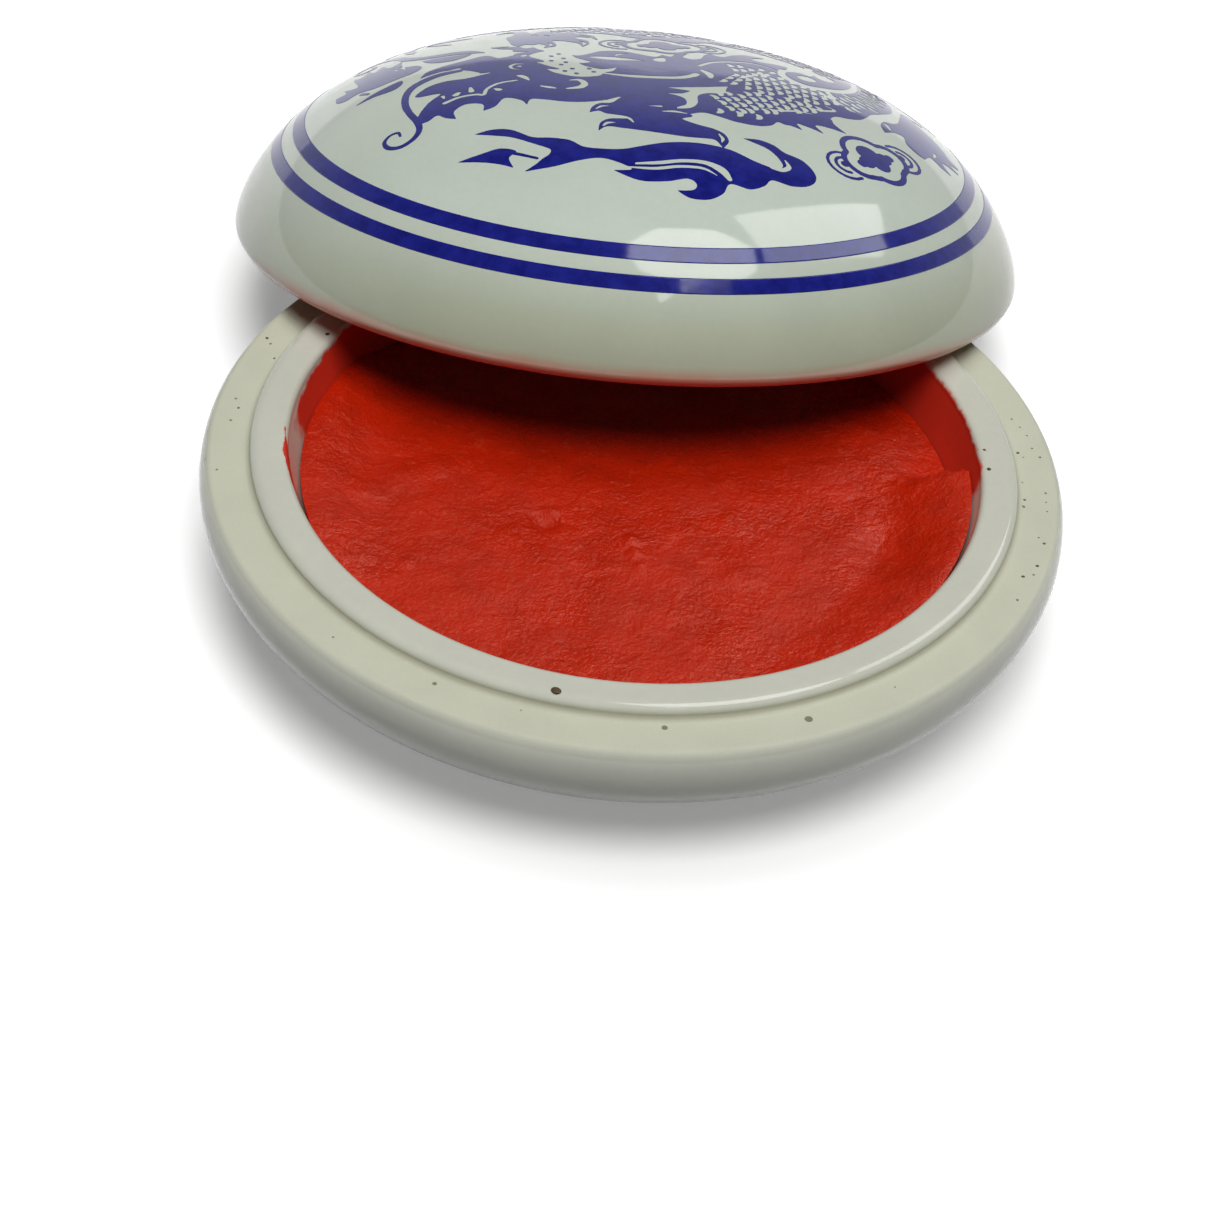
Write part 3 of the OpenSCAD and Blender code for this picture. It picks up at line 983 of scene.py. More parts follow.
     "-5.8 -3.9, -4.4 -2.8*, -4.8 -4.4, -5.6 -5.2, -6.2 -6.6, -8.3 -7.3, -10.4 -6.5, -11.6 -5.1*,"
     "-10.2 -5, -11.4 -4.1, -12.8 -2.8*, -11.9 -2.4, -13.2 -1.2*, -13.6 -0.2"),
    ("hole", "-7.6 0.3, -6 -0.2, -4.4 -0.1, -2.8 0.4, -1.6 0.6*, -3 1, -5 1.1*, -6.2 0.9"),
    ("gap", "-5.6 -5.4 0.5, -3 -5.6 0.9, 0 -5.1, 2 -4.4, 3.3 -3.2, 3.7 -2.4 0.8"),
    ("gap", "4.2 -0.6 0.4, 5 -1.8 0.9, 5.2 -3.2 0.4; -4.8 1.5 0.1, -4.4 2.4 0.4, -3.6 3 0.1;"
     "-0.2 1.6 1.4, 0.1 2.4 0.6"),
    ("hole", "7 -5.4*, 4.6 -6.7, 2.2 -7.7, 0.7 -8.3*, 3.2 -8.6*, 2.4 -9.6, 0.8 -10.2, 1.8 -10.8,"
     "2.8 -12, 2.6 -13, 0.8 -14.5*, 3.2 -13.6, 4 -12, 4 -9.8, 5 -8.6, 6.6 -8, 6.8 -6.6"),
    ("gap", "-9 -8.6 0.2, -8 -8.3 0.7, -7.4 -9.4, -7.8 -10.5 0.8, -9 -11.1 0.4"),
    ("gap", "-11.7 -10.6 0.3, -10.9 -10.9 0.6, -10.2 -11.1 0.3; -14 -7.6 0.7, -13.5 -8.1,"
     "-13 -9 0.2"),
    ("hole", "-1.1 -11.8*, -0.5 -11.6, 0 -11.2*, -0.3 -12.4, -0.7 -12.9*"),
    # Face: the whisker's gap, mouth, teeth and eye
    ("gap", "-17.2 -6.5 0.3, -18.4 -7 0.7, -19.5 -7.5, -21.5 -7.8 0.5, -23 -8.6 0.35, -24 -9.9,"
     "-24.5 -11.4, -24.3 -13, -23.5 -15 0.3"),
    ("gap", "-20.5 -4.6 0.7, -22 -5.2 0.4, -23.4 -6 0.25"),
    ("gap", "-20.9 -13.6 0.55, -19.6 -12.7 0.45, -18 -12.4, -17.2 -12.6 0.4, -17 -11.2,"
     "-16 -9.8 0.45, -14.3 -9 0.4"),
    ("gap", "-21.3 -11.9 0.4, -21.1 -12.5 0.2; -20 -12 0.7, -19.8 -11.6 0.5; -18.7 -10.5 0.3,"
     "-18.5 -11.5 0.6; -16.2 -11.2 0.3, -15.8 -11.5 0.7"),
    ("gap", "-14 -3.6 0.3, -14.8 -3.7 0.4, -15.2 -4.5, -14.9 -5.3 0.3, -14.2 -5.5 0.2"),
    ("gap", "-14.3 -4.5 0.45, -14.2 -4.4; -16 -0.9 0.4, -15.4 -0.2 0.6; -14.2 -0.6, -14 -0.2 0.5"),
    # Whisker with its curl, and the upper one
    ("line", "-20.3 -5.2 0.7, -22.6 -6 1, -24.5 -7.9 0.9, -25.1 -10 0.75, -24.9 -12.4 0.7,"
     "-24.2 -14.5 0.65, -23.3 -16.4, -22.9 -18 0.6, -23.3 -19.3 0.55, -24.4 -20 0.5,"
     "-25.6 -19.6 0.45, -26.2 -18.5 0.4, -25.8 -17.6 0.35, -25 -17.5 0.3, -24.7 -18.2 0.25"),
    ("line", "-30.1 5.4 0.3, -29.8 4.3 0.4, -30.6 3.5, -31.5 4.1, -31.9 5.3, -31.2 6.4 0.45,"
     "-29.8 7 0.6, -28.3 6.2 0.8, -27.2 4.7 1, -26.4 3.2 1.1, -25 2.1, -23.2 1.7 1.2,"
     "-21.4 1.8 1.3, -19.9 1.7 1.2, -18.3 1.1 0.15"),
    ("mass", "-24.6 0.5*, -23 0.6, -21 0.7, -19.6 0.8, -20.4 -0.5, -21.5 -1.3, -23 -1.2, -24 -0.5"),
    # Flaming pearl
    ("mass", "-26.7 0.8, -26.8 2.7*, -27.9 1.2, -28.9 3.1*, -29.5 1.2, -30.3 3.1*, -30.7 1.1,"
     "-31.6 1.6*, -31.4 0.2, -30.9 -1.6, -30.8 -2.6, -31.5 -2.5, -32.2 -1.9*, -31.9 -3.3,"
     "-32.8 -3.4*, -32.6 -5, -31.6 -5.7, -30.4 -5, -28.8 -5.3, -27 -4.6, -25.2 -3.6, -24.4 -2.3,"
     "-24.9 -1, -26.2 -0.5"),
    ("gap", "-26.6 -0.2 0.5, -26.1 -1.4 0.1; -27.4 -0.1, -27 -0.9 0.3"),
    ("mass", "-30.3 -8.5*, -28.9 -7.1, -27.2 -5.9, -26.1 -5.3, -25.9 -6.4, -26.7 -7.6, -28.6 -7.9"),
    ("line", "-30 -5.7 0.5, -29.3 -6.3 0.4"),
    # Front claw
    ("mass", "-3.4 -12.4, -4.4 -14.2, -5.6 -14.6, -6.3 -15.6, -6.5 -16.9*, -5.6 -16.4, -5 -16.8,"
     "-3.6 -17.4, -2.6 -17.7, -4.4 -18, -5.3 -19, -5.4 -20.6*, -4.6 -19.6, -3 -19.7, 0 -19.9,"
     "3 -20, 5 -19.7, 6 -19.7, 6.8 -20.9*, 7.3 -19.5, 6.8 -18.2, 5.6 -17.5, 4.2 -17.2, 2.6 -16.4,"
     "3.6 -15.4, 2 -14, 2.9 -12.6, 2.6 -11, 1 -10.2, -1 -10.4"),
    ("gap", "-5.2 -17 0.2, -3.5 -17.3 0.45, -2.6 -17.6 0.4, -2.1 -18.4 0.15"),
    ("gap", "-5.9 -16 0.15, -5.4 -15.3 0.35, -4.6 -15.1 0.1; -5 -19.6 0.15, -4.6 -18.9 0.4,"
     "-3.8 -18.7 0.1; 6.3 -18.4 0.2, 6.7 -19.2 0.35, 6.6 -19.9 0.1; 0.6 -15.2 0.2, 1.8 -14.9 0.45,"
     "3 -15 0.2; -0.8 -14.2 0.1, 0.4 -14 0.4"),
    # Ribbon
    ("mass", "8.7 -18.3*, 10.2 -17.9, 11.7 -18.2, 12.8 -19, 14.6 -19.4, 15.8 -20.6, 16 -21.8,"
     "15.2 -23, 13.6 -23.8, 11.7 -23.9, 11 -25, 9.6 -26, 7.7 -26, 7.1 -27.4, 5.8 -28.5, 4 -28.8,"
     "2.7 -28.2*, 4.2 -27.8, 4.5 -27, 3.6 -26.5, 1.6 -27.3, -1 -27.6, -3.5 -26.6*, -1.8 -26.3,"
     "-2.8 -25.6, -4.8 -25, -7 -25.5, -9.2 -26.3, -12 -26.8*, -11 -26, -10.4 -25.2, -9.8 -24.6,"
     "-9.8 -23.8, -11.4 -22.9, -13.6 -21.7, -15.2 -21.2, -17.3 -20.6*, -15.6 -20.1, -13.8 -20.4,"
     "-11.7 -21.8, -9.8 -22, -8 -22.4, -6.6 -23.4, -4.6 -23.6, -2.8 -23.4, -1.2 -22.7, 1.4 -21.5,"
     "4.4 -20.8, 7.4 -20.9, 9.8 -21.8, 11.8 -22.1, 12.7 -21.4, 12.2 -20.2, 11.2 -19.2, 10.2 -18.8"),
    ("gap", "-1.4 -25.4 0.3, 0.8 -24.9 0.5, 3 -24.1, 5.2 -23.8 0.6, 6.8 -24.4 0.9, 7.6 -25.4 0.5"),
    ("gap", "-2.2 -26 0.2, 0.4 -25.8 0.4, 2.8 -25, 5 -24.7 0.35, 6.4 -25.3 0.1"),
    ("gap", "12.9 -20.3 0.2, 13.3 -21.2 0.5, 12.6 -22, 11.6 -22.1 0.3"),
    ("mass", "-18.5 -24.4*, -16.4 -23.8, -14.6 -23.3, -13 -23.9, -13.6 -24.8, -13 -26.2*,"
     "-14.2 -25.6, -16 -25"),
    ("line", "-13.4 -24.1 0.4, -10.9 -25.1 0.3"),
)
# Spots on the brow, in millimetres
BROW_SPOTS = ((-11.3, -0.3), (-10, -1), (-11.2, -2.1), (-9.7, -2.4), (-10.1, -3.4), (-8.9, -4.6),
              (-6.7, -5.2), (-8.4, -6.2), (-7.2, -4.2), (-10.6, 0.7), (-9.6, -5.6))
BROW_SPOT_WIDTH = 0.5
# Cells by which a point of an outline may stray, and the longest stretch between points
SPARE = 0.08
LONGEST = 9.0
# Spacing in millimetres of the points inside the ink, which make the film follow the dome,
# and the distance below which two points are one
FILM_GRID = 1.4
FILM_WELD = 1e-6


def drawn_ink():
    """The whole drawing as one field of ink."""
    ink = Ink()
    for kind, text in DRAWING:
        ink.draw(kind, text)
    for spot in BROW_SPOTS:
        ink.dot(on_lid(*spot), BROW_SPOT_WIDTH)
    for place, size, turn, swell in CLOUDS:
        ink.cloud(on_lid(*place), size, math.radians(turn), swell)
    ink.field = np.minimum(ink.field, INK_EDGE - np.hypot(*np.meshgrid(ink.axis, ink.axis)))
    return ink


def outline_of(field):
    """The edge of the ink: its points, and the pairs of points that its segments join."""
    inside = field > 0
    rows, columns = field.shape
    points = []
    numbers = []
    found = 0
    for step in ((0, 1), (1, 0)):
        first = field[:rows - step[0], :columns - step[1]]
        second = field[step[0]:, step[1]:]
        crossed = (first > 0) != (second > 0)
        at = np.argwhere(crossed)
        share = first[crossed] / (first[crossed] - second[crossed])
        points.append(at + share[:, None] * np.array(step))
        number_at = np.full(crossed.shape, -1)
        number_at[crossed] = found + np.arange(len(at))
        numbers.append(number_at)
        found += len(at)
    level, upright = numbers
    sides = np.stack([level[:-1], upright[:, 1:], level[1:], upright[:, :-1]], -1)
    segments = []
    for i, j in np.argwhere((sides >= 0).any(-1)):
        met = [side for side in sides[i, j] if side >= 0]
        if len(met) == 4 and (field[i:i + 2, j:j + 2].mean() > 0) != inside[i, j]:
            met = met[-1:] + met[:-1]
        segments.extend(zip(met[::2], met[1::2]))
    return np.concatenate(points), segments


def loops_of(points, segments):
    """Closed loops of points, in order, without the points that a straight line can spare."""
    joined = {}
    for first, second in segments:
        joined.setdefault(first, []).append(second)
        joined.setdefault(second, []).append(first)
    loops = []
    left = set(joined)
    while left:
        here = min(left)
        loop = [here]
        left.discard(here)
        while True:
            ahead = [other for other in joined[here] if other in left]
            if not ahead:
                break
            here = ahead[0]
            loop.append(here)
            left.discard(here)
        for _ in range(3):
            loop = spared(points, loop)
        if len(loop) > 3:
            loops.append(loop)
    return loops


def spared(points, loop):
    """Leaves out every second point of a loop where it lies almost on a straight line."""
    kept = []
    count = len(loop)
    for i, here in enumerate(loop):
        before, after = points[loop[i - 1]], points[loop[(i + 1) % count]]
        chord = after - before
        size = max(np.hypot(*chord), LEAST)
        side = points[here] - before
        away = abs(chord[0] * side[1] - chord[1] * side[0]) / size
        if i % 2 == 0 or away > SPARE or size > LONGEST:
            kept.append(here)
    return kept


def film_triangles(ink):
    """The inked parts of the plan as triangles, and the plan's points in millimetres."""
    points, segments = outline_of(ink.field)
    places = []
    edges = []
    for loop in loops_of(points, segments):
        start = len(places)
        places.extend(points[loop][:, ::-1] * INK_CELL - INK_REACH)
        count = len(loop)
        edges.extend((start + i, start + (i + 1) % count) for i in range(count))
    for x in np.arange(-INK_REACH, INK_REACH, FILM_GRID):
        for y in np.arange(-INK_REACH, INK_REACH, FILM_GRID):
            if ink.depth(np.array([[x, y]]))[0] > FILM_GRID / 4:
                places.append((x, y))
    found = delaunay_2d_cdt([Vector(place) for place in places], edges, [], 0, FILM_WELD)
    places = np.array([tuple(place) for place in found[0]])
    triangles = np.array(found[2])
    middles = places[triangles].mean(1)
    return places, triangles[ink.depth(middles) > 0]


def make_print(settings):
    """The painted dragon, clouds and ribbon: a thin closed film that lies on the dome."""
    prints = settings.print
    plan, triangles = film_triangles(drawn_ink())
    used, triangles = np.unique(triangles, return_inverse=True)
    plan = plan[used]
    triangles = triangles.reshape(-1, 3)
    corners = []
    normals = []
    for x, y in plan * MM:
        radius = math.hypot(x, y)
        outward, upward = dome_normal(settings, radius)
        around = Vector((x / radius, y / radius, 0)) if radius else Vector((1, 0, 0))
        normal = around * outward + Vector((0, 0, upward))
        corners.append(Vector((x, y, dome_height(settings, radius))))
        normals.append(normal)
    count = len(plan)
    top = [corner + normal * prints.film for corner, normal in zip(corners, normals)]
    low = [corner - normal * prints.bedding for corner, normal in zip(corners, normals)]
    sides = {tuple(pair) for triangle in triangles.tolist()
             for pair in zip(triangle, triangle[1:] + triangle[:1])}
    walls = [(b, a, a + count, b + count) for a, b in sides if (b, a) not in sides]
    faces = triangles.tolist() + (triangles[:, ::-1] + count).tolist() + walls
    mesh = bpy.data.meshes.new("dragon_print")
    mesh.from_pydata(top + low, [], faces)
    mesh.normals_split_custom_set_from_vertices(normals + [-normal for normal in normals])
    mesh.materials.append(finish(settings, "print"))
    film = new_object("dragon_print", mesh)
    mesh.transform(lid_matrix(settings))
    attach(film, "lid")


# The paste

# Inputs of the paste's tree that are plain numbers
PASTE_INPUTS = ("crown", "waves", "lumps", "near_bank", "far_bank", "pull", "sink",
                "edge_radius", "edge_height", "foot_radius", "foot_height", "curve")
# Dents and bumps of the paste in millimetres: place, reach, and how far they rise
PASTE_DENTS = (
    ((-7.6, -7.0), 1.7, -0.5), ((-7.0, -5.6), 1.3, 0.3), ((0.3, -8.6), 1.2, 0.5),
    ((0.8, -10.4), 1.0, 0.4), ((1.4, -12.0), 0.9, 0.3), ((-24.0, -5.0), 2.6, 0.35),
    ((-21.0, -2.6), 2.6, 0.35), ((-18.0, -0.4), 2.4, 0.3), ((24.5, -7.0), 5.5, -0.7),
    ((11.0, -12.0), 3.0, 0.3), ((-19.4, -14.6), 1.0, 0.25),
)
# Height above the table of the middle of each dent
DENT_LEVEL = 11.2 * MM
# How far the lumps fray the dents, and in radians the ends of the corner and the near bank
DENT_FRAY = 0.8 * MM
END_FRAY = 0.12
# Angles in degrees. The corner that is drawn back: its ends, and how soft they are
CORNER = (9, 46, 2)
# The near bank: where it starts and is full, and where its torn end starts and is over
NEAR_BANK_RISE = (-70, -12)
NEAR_BANK_END = (6, 9)
# The far bank: its ends, and how soft they are
FAR_BANK = (138, 222, 22)
# Width of the paste's edge that is banked up or drawn back
EDGE_WIDTH = 7 * MM
# Share of the waves and dents that is left at the wall, and the width over which they lessen
STILL_SHARE = 0.4
STILL_WIDTH = 1.5 * MM
# How far a bank leans out for each unit of its height
BANK_LEAN = 0.33


def paste_tree():
    """The cake of paste: its crowned top, its side and its bottom in the well."""
    tree, paste, result = shape_group("Paste cake", PASTE_INPUTS, around="Int", paste="Material")
    lathe = Lathe(tree, paste["around"])
    foot_radius = paste["foot_radius"] - paste["curve"]
    low = paste["foot_height"] + paste["curve"]
    lathe.line((0.0, paste["foot_height"]), (foot_radius, paste["foot_height"]), 6)
    lathe.arc((foot_radius, low), (paste["curve"], paste["curve"]), (-QUARTER, 0.0), 8)
    lathe.line((paste["foot_radius"], low), (paste["edge_radius"], paste["edge_height"]), 2)
    lathe.arc((0.0, paste["edge_height"]), (paste["edge_radius"], paste["crown"]),
              (0.0, QUARTER), 120)
    pressed = add(tree, "GeometryNodeSetPosition", {
        "Geometry": lathe.weld(), "Position": paste_relief(tree, paste)})
    finish_with(tree, pressed.outputs[0], paste["paste"], result)
    return tree


def paste_relief(tree, paste):
    """Where the cake's points go: waves, lumps, dents, two banks and a corner drawn back."""
    place = add(tree, "GeometryNodeInputPosition").outputs[0]
    radius, turn, height = turned_place(tree, place)
    edge = paste["edge_radius"]
    on_top = height.maths("GREATER_THAN", paste["edge_height"] - WELD)
    waves = noise(tree, place, 11 * MM, 2.0) - 0.5
    lumps = noise(tree, place, 2.6 * MM, 3.0, 0.55) - 0.5
    rise = waves * paste["waves"] + lumps * paste["lumps"]
    for (x, y), size, lift in PASTE_DENTS:
        away = add(tree, "ShaderNodeVectorMath", {0: place, 1: (x * MM, y * MM, DENT_LEVEL)},
                   operation="DISTANCE")
        frayed = Value(tree, away.outputs["Value"]) + lumps * DENT_FRAY
        rise = rise + fade(tree, frayed, size * MM, 0.0) * (lift * MM)
    frayed_turn = turn + lumps * END_FRAY
    corner = window(tree, frayed_turn, *CORNER)
    outer = fade(tree, radius, edge - EDGE_WIDTH, edge)
    rise = rise - corner * outer * paste["sink"]
    kept = between(fade(tree, radius, edge, edge - STILL_WIDTH), STILL_SHARE, 1.0)
    start, full, torn, end = (math.radians(part) for part in (*NEAR_BANK_RISE, *NEAR_BANK_END))
    near = fade(tree, turn, start, full) * fade(tree, frayed_turn, end, torn)
    far = window(tree, whole_turn(turn), *FAR_BANK)
    bank = (near * paste["near_bank"] + far * paste["far_bank"]) * outer
    outward = on_top * (bank * BANK_LEAN - corner * outer * paste["pull"])
    shift = 1 + outward / radius.maths("MAXIMUM", 1 * MM)
    axes = add(tree, "ShaderNodeSeparateXYZ", {0: place})
    x, y = (Value(tree, axes.outputs[axis]) * shift for axis in "XY")
    return add(tree, "ShaderNodeCombineXYZ", {
        "X": x, "Y": y, "Z": height + on_top * (kept * rise + bank)}).outputs[0]


def make_paste(settings):
    """The cake of seal paste, standing for its CAD node."""
    dish = settings.dish
    paste = settings.paste
    well = collar_radius(dish) - dish.collar_thickness
    floor = dish.foot_height + dish.floor_thickness
    wall_top = collar_top(dish) - dish.collar_rounding
    edge = collar_top(dish) - paste.drop
    inset = dish.well_inset * (wall_top - edge) / (wall_top - floor - dish.well_curve)
    cake = grow("paste_cake", paste_tree(), {
        **values_of(paste), "edge_radius": well - paste.gap - inset, "edge_height": edge,
        "foot_radius": well - paste.gap - dish.well_inset, "foot_height": floor,
        "curve": dish.well_curve, "around": AROUND, "paste": finish(settings, "paste")})
    cake.data.set_sharp_from_angle(angle=SHARP)
    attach(cake, "base")
    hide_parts("seal_paste")


# Materials

# Heights of the glaze's slow waves and of its fine dimples
GLAZE_WAVES = 0.05 * MM
GLAZE_DIMPLES = 0.002 * MM
# How much darker the glaze is where it is mottled, and its darker, more olive tint where it has
# pooled and where shade is painted on
MOTTLED_SHADE = 0.94
POOL_AND_SHADE_TINT = (0.76, 0.73, 0.62)
# Roughness of glaze, of bare clay, of a smear of paste and of a speck
GLAZE_ROUGHNESS = 0.07
CLAY_ROUGHNESS = 0.8
SMEAR_ROUGHNESS = 0.4
SPECK_ROUGHNESS = 0.6
# Spacing of the places in the clay where a pinhole may be, and the share that have one
PINHOLE_SPACING = 1.5 * MM
PINHOLE_SHARE = 0.06
# Largest radius of a pinhole and softness of its edge, for each unit of the spacing, and how
# brown it is
PINHOLE_RADIUS = 0.3
PINHOLE_SOFTNESS = 0.02
PINHOLE_STAIN = 0.75
# Lightness of the darkest clay, and what the brightest grain and the palest patches add to it
CLAY_LIGHT = 0.87
GRAIN_LIGHT = 0.12
PATCH_LIGHT = 0.14
# Height of the clay's grain, and depth of its pinholes
GRAIN_HEIGHT = 0.03 * MM
PINHOLE_DEPTH = 0.08 * MM
# How far the edge of the glaze wanders on both sides together, and the size of its waves
GLAZE_WANDER = 0.5 * MM
WANDER_SIZE = 3 * MM
# Colours in linear light: the print where it is thin, the paste's crests paled by painted sheen,
# with the tint of their highlights, and the smallest specks, half hidden in the clay
THIN_COBALT = (0.014, 0.018, 0.23)
PAINTED_SHEEN_PASTE = (0.58, 0.055, 0.018)
PASTE_SHEEN = (1.0, 0.72, 0.55)
PALE_SPECK = (0.27, 0.255, 0.165)
# The paste: how dark its dark parts are, how much painted sheen pales its crests, its roughness
# where it shines and where it is dull, and the strength of its highlights
PASTE_SHADE = 0.86
PAINTED_SHEEN_SHARE = 0.45
PASTE_ROUGHNESS = (0.29, 0.5)
PASTE_SPECULAR = 0.6
# Height of the paste's wrinkles and of its grain
WRINKLE_HEIGHT = 0.3 * MM
FIBRE_HEIGHT = 0.16 * MM
# Widths between which a speck goes from pale to dark, and how dark its darkest parts are
SPECK_WIDTHS = (0.2 * MM, 0.4 * MM)
SPECK_SHADE = 0.5
# Bare clay of the dish: how far in from the side the ledge's clay starts and is full, for each
# unit of the edge's width, the width over which it sets in beside the collar with its share of
# the wander, and the heights between which it sets in at the foot
LEDGE_OUTER = (0.25, 0.95)
LEDGE_INNER = 0.5 * MM
INNER_WANDER = 0.3
FOOT_BARE = (0.5 * MM, 0.3 * MM)
# Bare clay of the lid's rim: the heights between which it sets in, and how far in from the
# rim it starts and is full
RIM_BARE = (0.75 * MM, 0.35 * MM)
RIM_REACH = (-2.6 * MM, -2.3 * MM)
# Smears of paste on the well's wall. Angles in degrees: the ends, and how soft they are
RIGHT_SMEAR = (-2, 50, 3)
LEFT_SMEAR = (132, 182, 6)
STREAK = (181, 212, 12)
# Edges of the smears: height in millimetres at an angle in degrees, and how many millimetres
# lower it lies for each radian further on
LEFT_EDGE = (15.7, 142, 1.9)
STREAK_EDGE = (15.9, 186, 4.1)
# Heights between which a smear fades out: on the right, and low down all round
RIGHT_FADE = (15.9 * MM, 15.2 * MM)
WIPED_FADE = (11.4 * MM, 11.0 * MM)
# Heights above its edge between which the left smear fades out, the same for the streak, and
# half the height of the streak
LEFT_FADE = (0.3 * MM, -0.2 * MM)
STREAK_FADE = (-0.05 * MM, -0.2 * MM)
STREAK_HALF = 0.7 * MM
# How far noise frays the smears, coarsely and finely, and each smear's share of it
COARSE_FRAY = 2.4 * MM
FINE_FRAY = 0.9 * MM
RIGHT_FRAY = 0.6
LEFT_FRAY = 0.5
STREAK_FRAY = 0.3
WIPED_FRAY = 0.5
# How far noise moves the ends of the smears, in radians, and their reach beyond the wall
END_SWAY = 0.1
REACH_SWAY = 0.5 * MM
# The smears' reach beyond the wall, and how far below the well's floor they set in
SMEAR_REACH = (0.9 * MM, 0.5 * MM)
SMEAR_START = (-0.8 * MM, -0.3 * MM)
# How much of the way over the collar's rounded edge counts as height
CLIMB_OVER = 0.8
# The lid's stained front: its middle in degrees, how far from it the stain starts and is full,
# and the heights between which it fades
RIM_STAIN_SIDES = (-90, 75, 45)
RIM_STAIN_HEIGHTS = (2.4 * MM, 0.0)
# How much of the porcelain a smear hides: in the well, and on the lid's rim
WELL_SMEAR = 0.98
RIM_SMEAR = 0.75
# Glaze pooled round the collar, with painted shade in the crease at its foot: how far out from
# the collar the tint sets in and ends, and how high above the ledge it ends
POOL_AND_SHADE_START = (-0.6 * MM, 0.1 * MM)
POOL_AND_SHADE_END = (1.6 * MM, 0.6 * MM)
POOL_AND_SHADE_TOP = (1.1 * MM, 0.5 * MM)
# Share of the darker tint at the collar's foot, where it is pooled glaze with painted shade, and
# of the painted shade on the lid away from its front
COLLAR_POOL_AND_SHADE = 0.75
BACK_SHADE = 0.3
# Painted shade, darker and more olive, on the lid's lower side: its middle in degrees, how far
# from it the shade starts and is full, and the heights between which it fades
LID_SHADE_SIDES = (-54, 130, 50)
LID_SHADE_HEIGHTS = (12.5 * MM, 3 * MM)


def surface(name):
    """A new material: the material, its tree and its shader."""
    material = bpy.data.materials.new(name)
    material.use_nodes = True
    return material, material.node_tree, material.node_tree.nodes["Principled BSDF"]


def opaque(tint):
    """A colour as a node takes it."""
    return (*tint, 1.0)


def object_place(tree):
    """The point being shaded, in the object's own metres."""
    return add(tree, "ShaderNodeTexCoord").outputs["Object"]


def fade(tree, value, start, end):
    """Goes smoothly from 0 to 1 as a value goes from start to end."""
    node = add(tree, "ShaderNodeMapRange",
               {"Value": value, "From Min": start, "From Max": end},
               interpolation_type="SMOOTHSTEP")
    return Value(tree, node.outputs["Result"])


def beyond(tree, value, level, reach):
    """Goes smoothly from 0 to 1 between two distances from a level."""
    return fade(tree, value, level + reach[0], level + reach[1])


def window(tree, turn, start, end, soft):
    """1 between two angles in degrees, with soft ends."""
    start, end, soft = (math.radians(part) for part in (start, end, soft))
    return fade(tree, turn, start, start + soft) * fade(tree, turn, end, end - soft)


def noise(tree, place, size, detail=3.0, roughness=0.5, distortion=0.0):
    """Noise about 0.5, with features of about this size."""
    node = add(tree, "ShaderNodeTexNoise", {
        "Vector": place, "Scale": 1 / size, "Detail": detail, "Roughness": roughness,
        "Distortion": distortion})
    return Value(tree, node.outputs[0])


def mix(tree, share, first, second):
    """A colour between two others."""
    node = add(tree, "ShaderNodeMix", {0: share, 6: first, 7: second}, data_type="RGBA")
    return node.outputs[2]


def strongest(first, *others):
    """The highest of some values."""
    for other in others:
        first = first.maths("MAXIMUM", other)
    return first


def whole_turn(turn):
    """An angle counted from 0 to a whole turn."""
    return turn + math.tau * turn.maths("LESS_THAN", 0.0)


def near_side(tree, turn, middle, far, near):
    """Goes from 0 to 1 as an angle nears a middle. That and both distances are in degrees."""
    away = (turn - math.radians(middle)).maths("ABSOLUTE")
    return fade(tree, away, math.radians(far), math.radians(near))


def between(share, first, second):
    """A value between two others."""
    return share * (second - first) + first


def bump(tree, height, normal_of):
    """Raises a surface by a height in metres."""
    node = add(tree, "ShaderNodeBump", {"Height": height, "Strength": 1.0, "Distance": 1.0})
    feed(tree, node.outputs[0], normal_of.inputs["Normal"])


def glaze_group(name):
    """Fired glaze: slow waves and fine dimples in its face, and a slight mottling."""
    tree, glaze, result = new_group(
        name, "ShaderNodeTree",
        {"tint": "Color", "shade": "Color", "wave_height": "Float", "dimple_height": "Float"},
        {"color": "Color", "height": "Float"})
    place = object_place(tree)
    cloudy = noise(tree, place, 9 * MM, 4.0)
    fine = noise(tree, place, 0.7 * MM, 2.0)
    mottling = fade(tree, cloudy * 0.7 + fine * 0.3, 0.3, 0.7)
    feed(tree, mix(tree, mottling, glaze["shade"], glaze["tint"]), result.inputs["Color"])
    waves = noise(tree, place, 11 * MM, 1.0)
    dimples = noise(tree, place, 1.3 * MM, 1.0)
    feed(tree, waves * glaze["wave_height"] + dimples * glaze["dimple_height"],
         result.inputs["Height"])
    return tree


def clay_group(name):
    """Bare fired clay: a fine grain, with brown pinholes scattered over it."""
    tree, clay, result = new_group(
        name, "ShaderNodeTree",
        {"tint": "Color", "speck": "Color", "spacing": "Float", "share": "Float"},
        {"color": "Color", "height": "Float"})
    place = object_place(tree)
    cells = add(tree, "ShaderNodeTexVoronoi", {"Vector": place, "Scale": 1 / clay["spacing"]})
    chance = Value(tree, add(tree, "ShaderNodeSeparateColor",
                             {0: cells.outputs["Color"]}).outputs[0])
    hole_size = fade(tree, chance, 1 - clay["share"], 1.0) * PINHOLE_RADIUS
    hole = fade(tree, Value(tree, cells.outputs["Distance"]) - hole_size,
                PINHOLE_SOFTNESS, -PINHOLE_SOFTNESS)
    chosen = chance.maths("GREATER_THAN", 1 - clay["share"])
    grain = noise(tree, place, 0.25 * MM, 3.0, 0.6)
    patches = noise(tree, place, 5 * MM, 3.0)
    light = grain * GRAIN_LIGHT + patches * PATCH_LIGHT + CLAY_LIGHT
    shaded = add(tree, "ShaderNodeVectorMath", {0: clay["tint"], 3: light}, operation="SCALE")
    feed(tree, mix(tree, hole * chosen * PINHOLE_STAIN, shaded.outputs[0], clay["speck"]),
         result.inputs["Color"])
    feed(tree, grain * GRAIN_HEIGHT - hole * chosen * PINHOLE_DEPTH, result.inputs["Height"])
    return tree


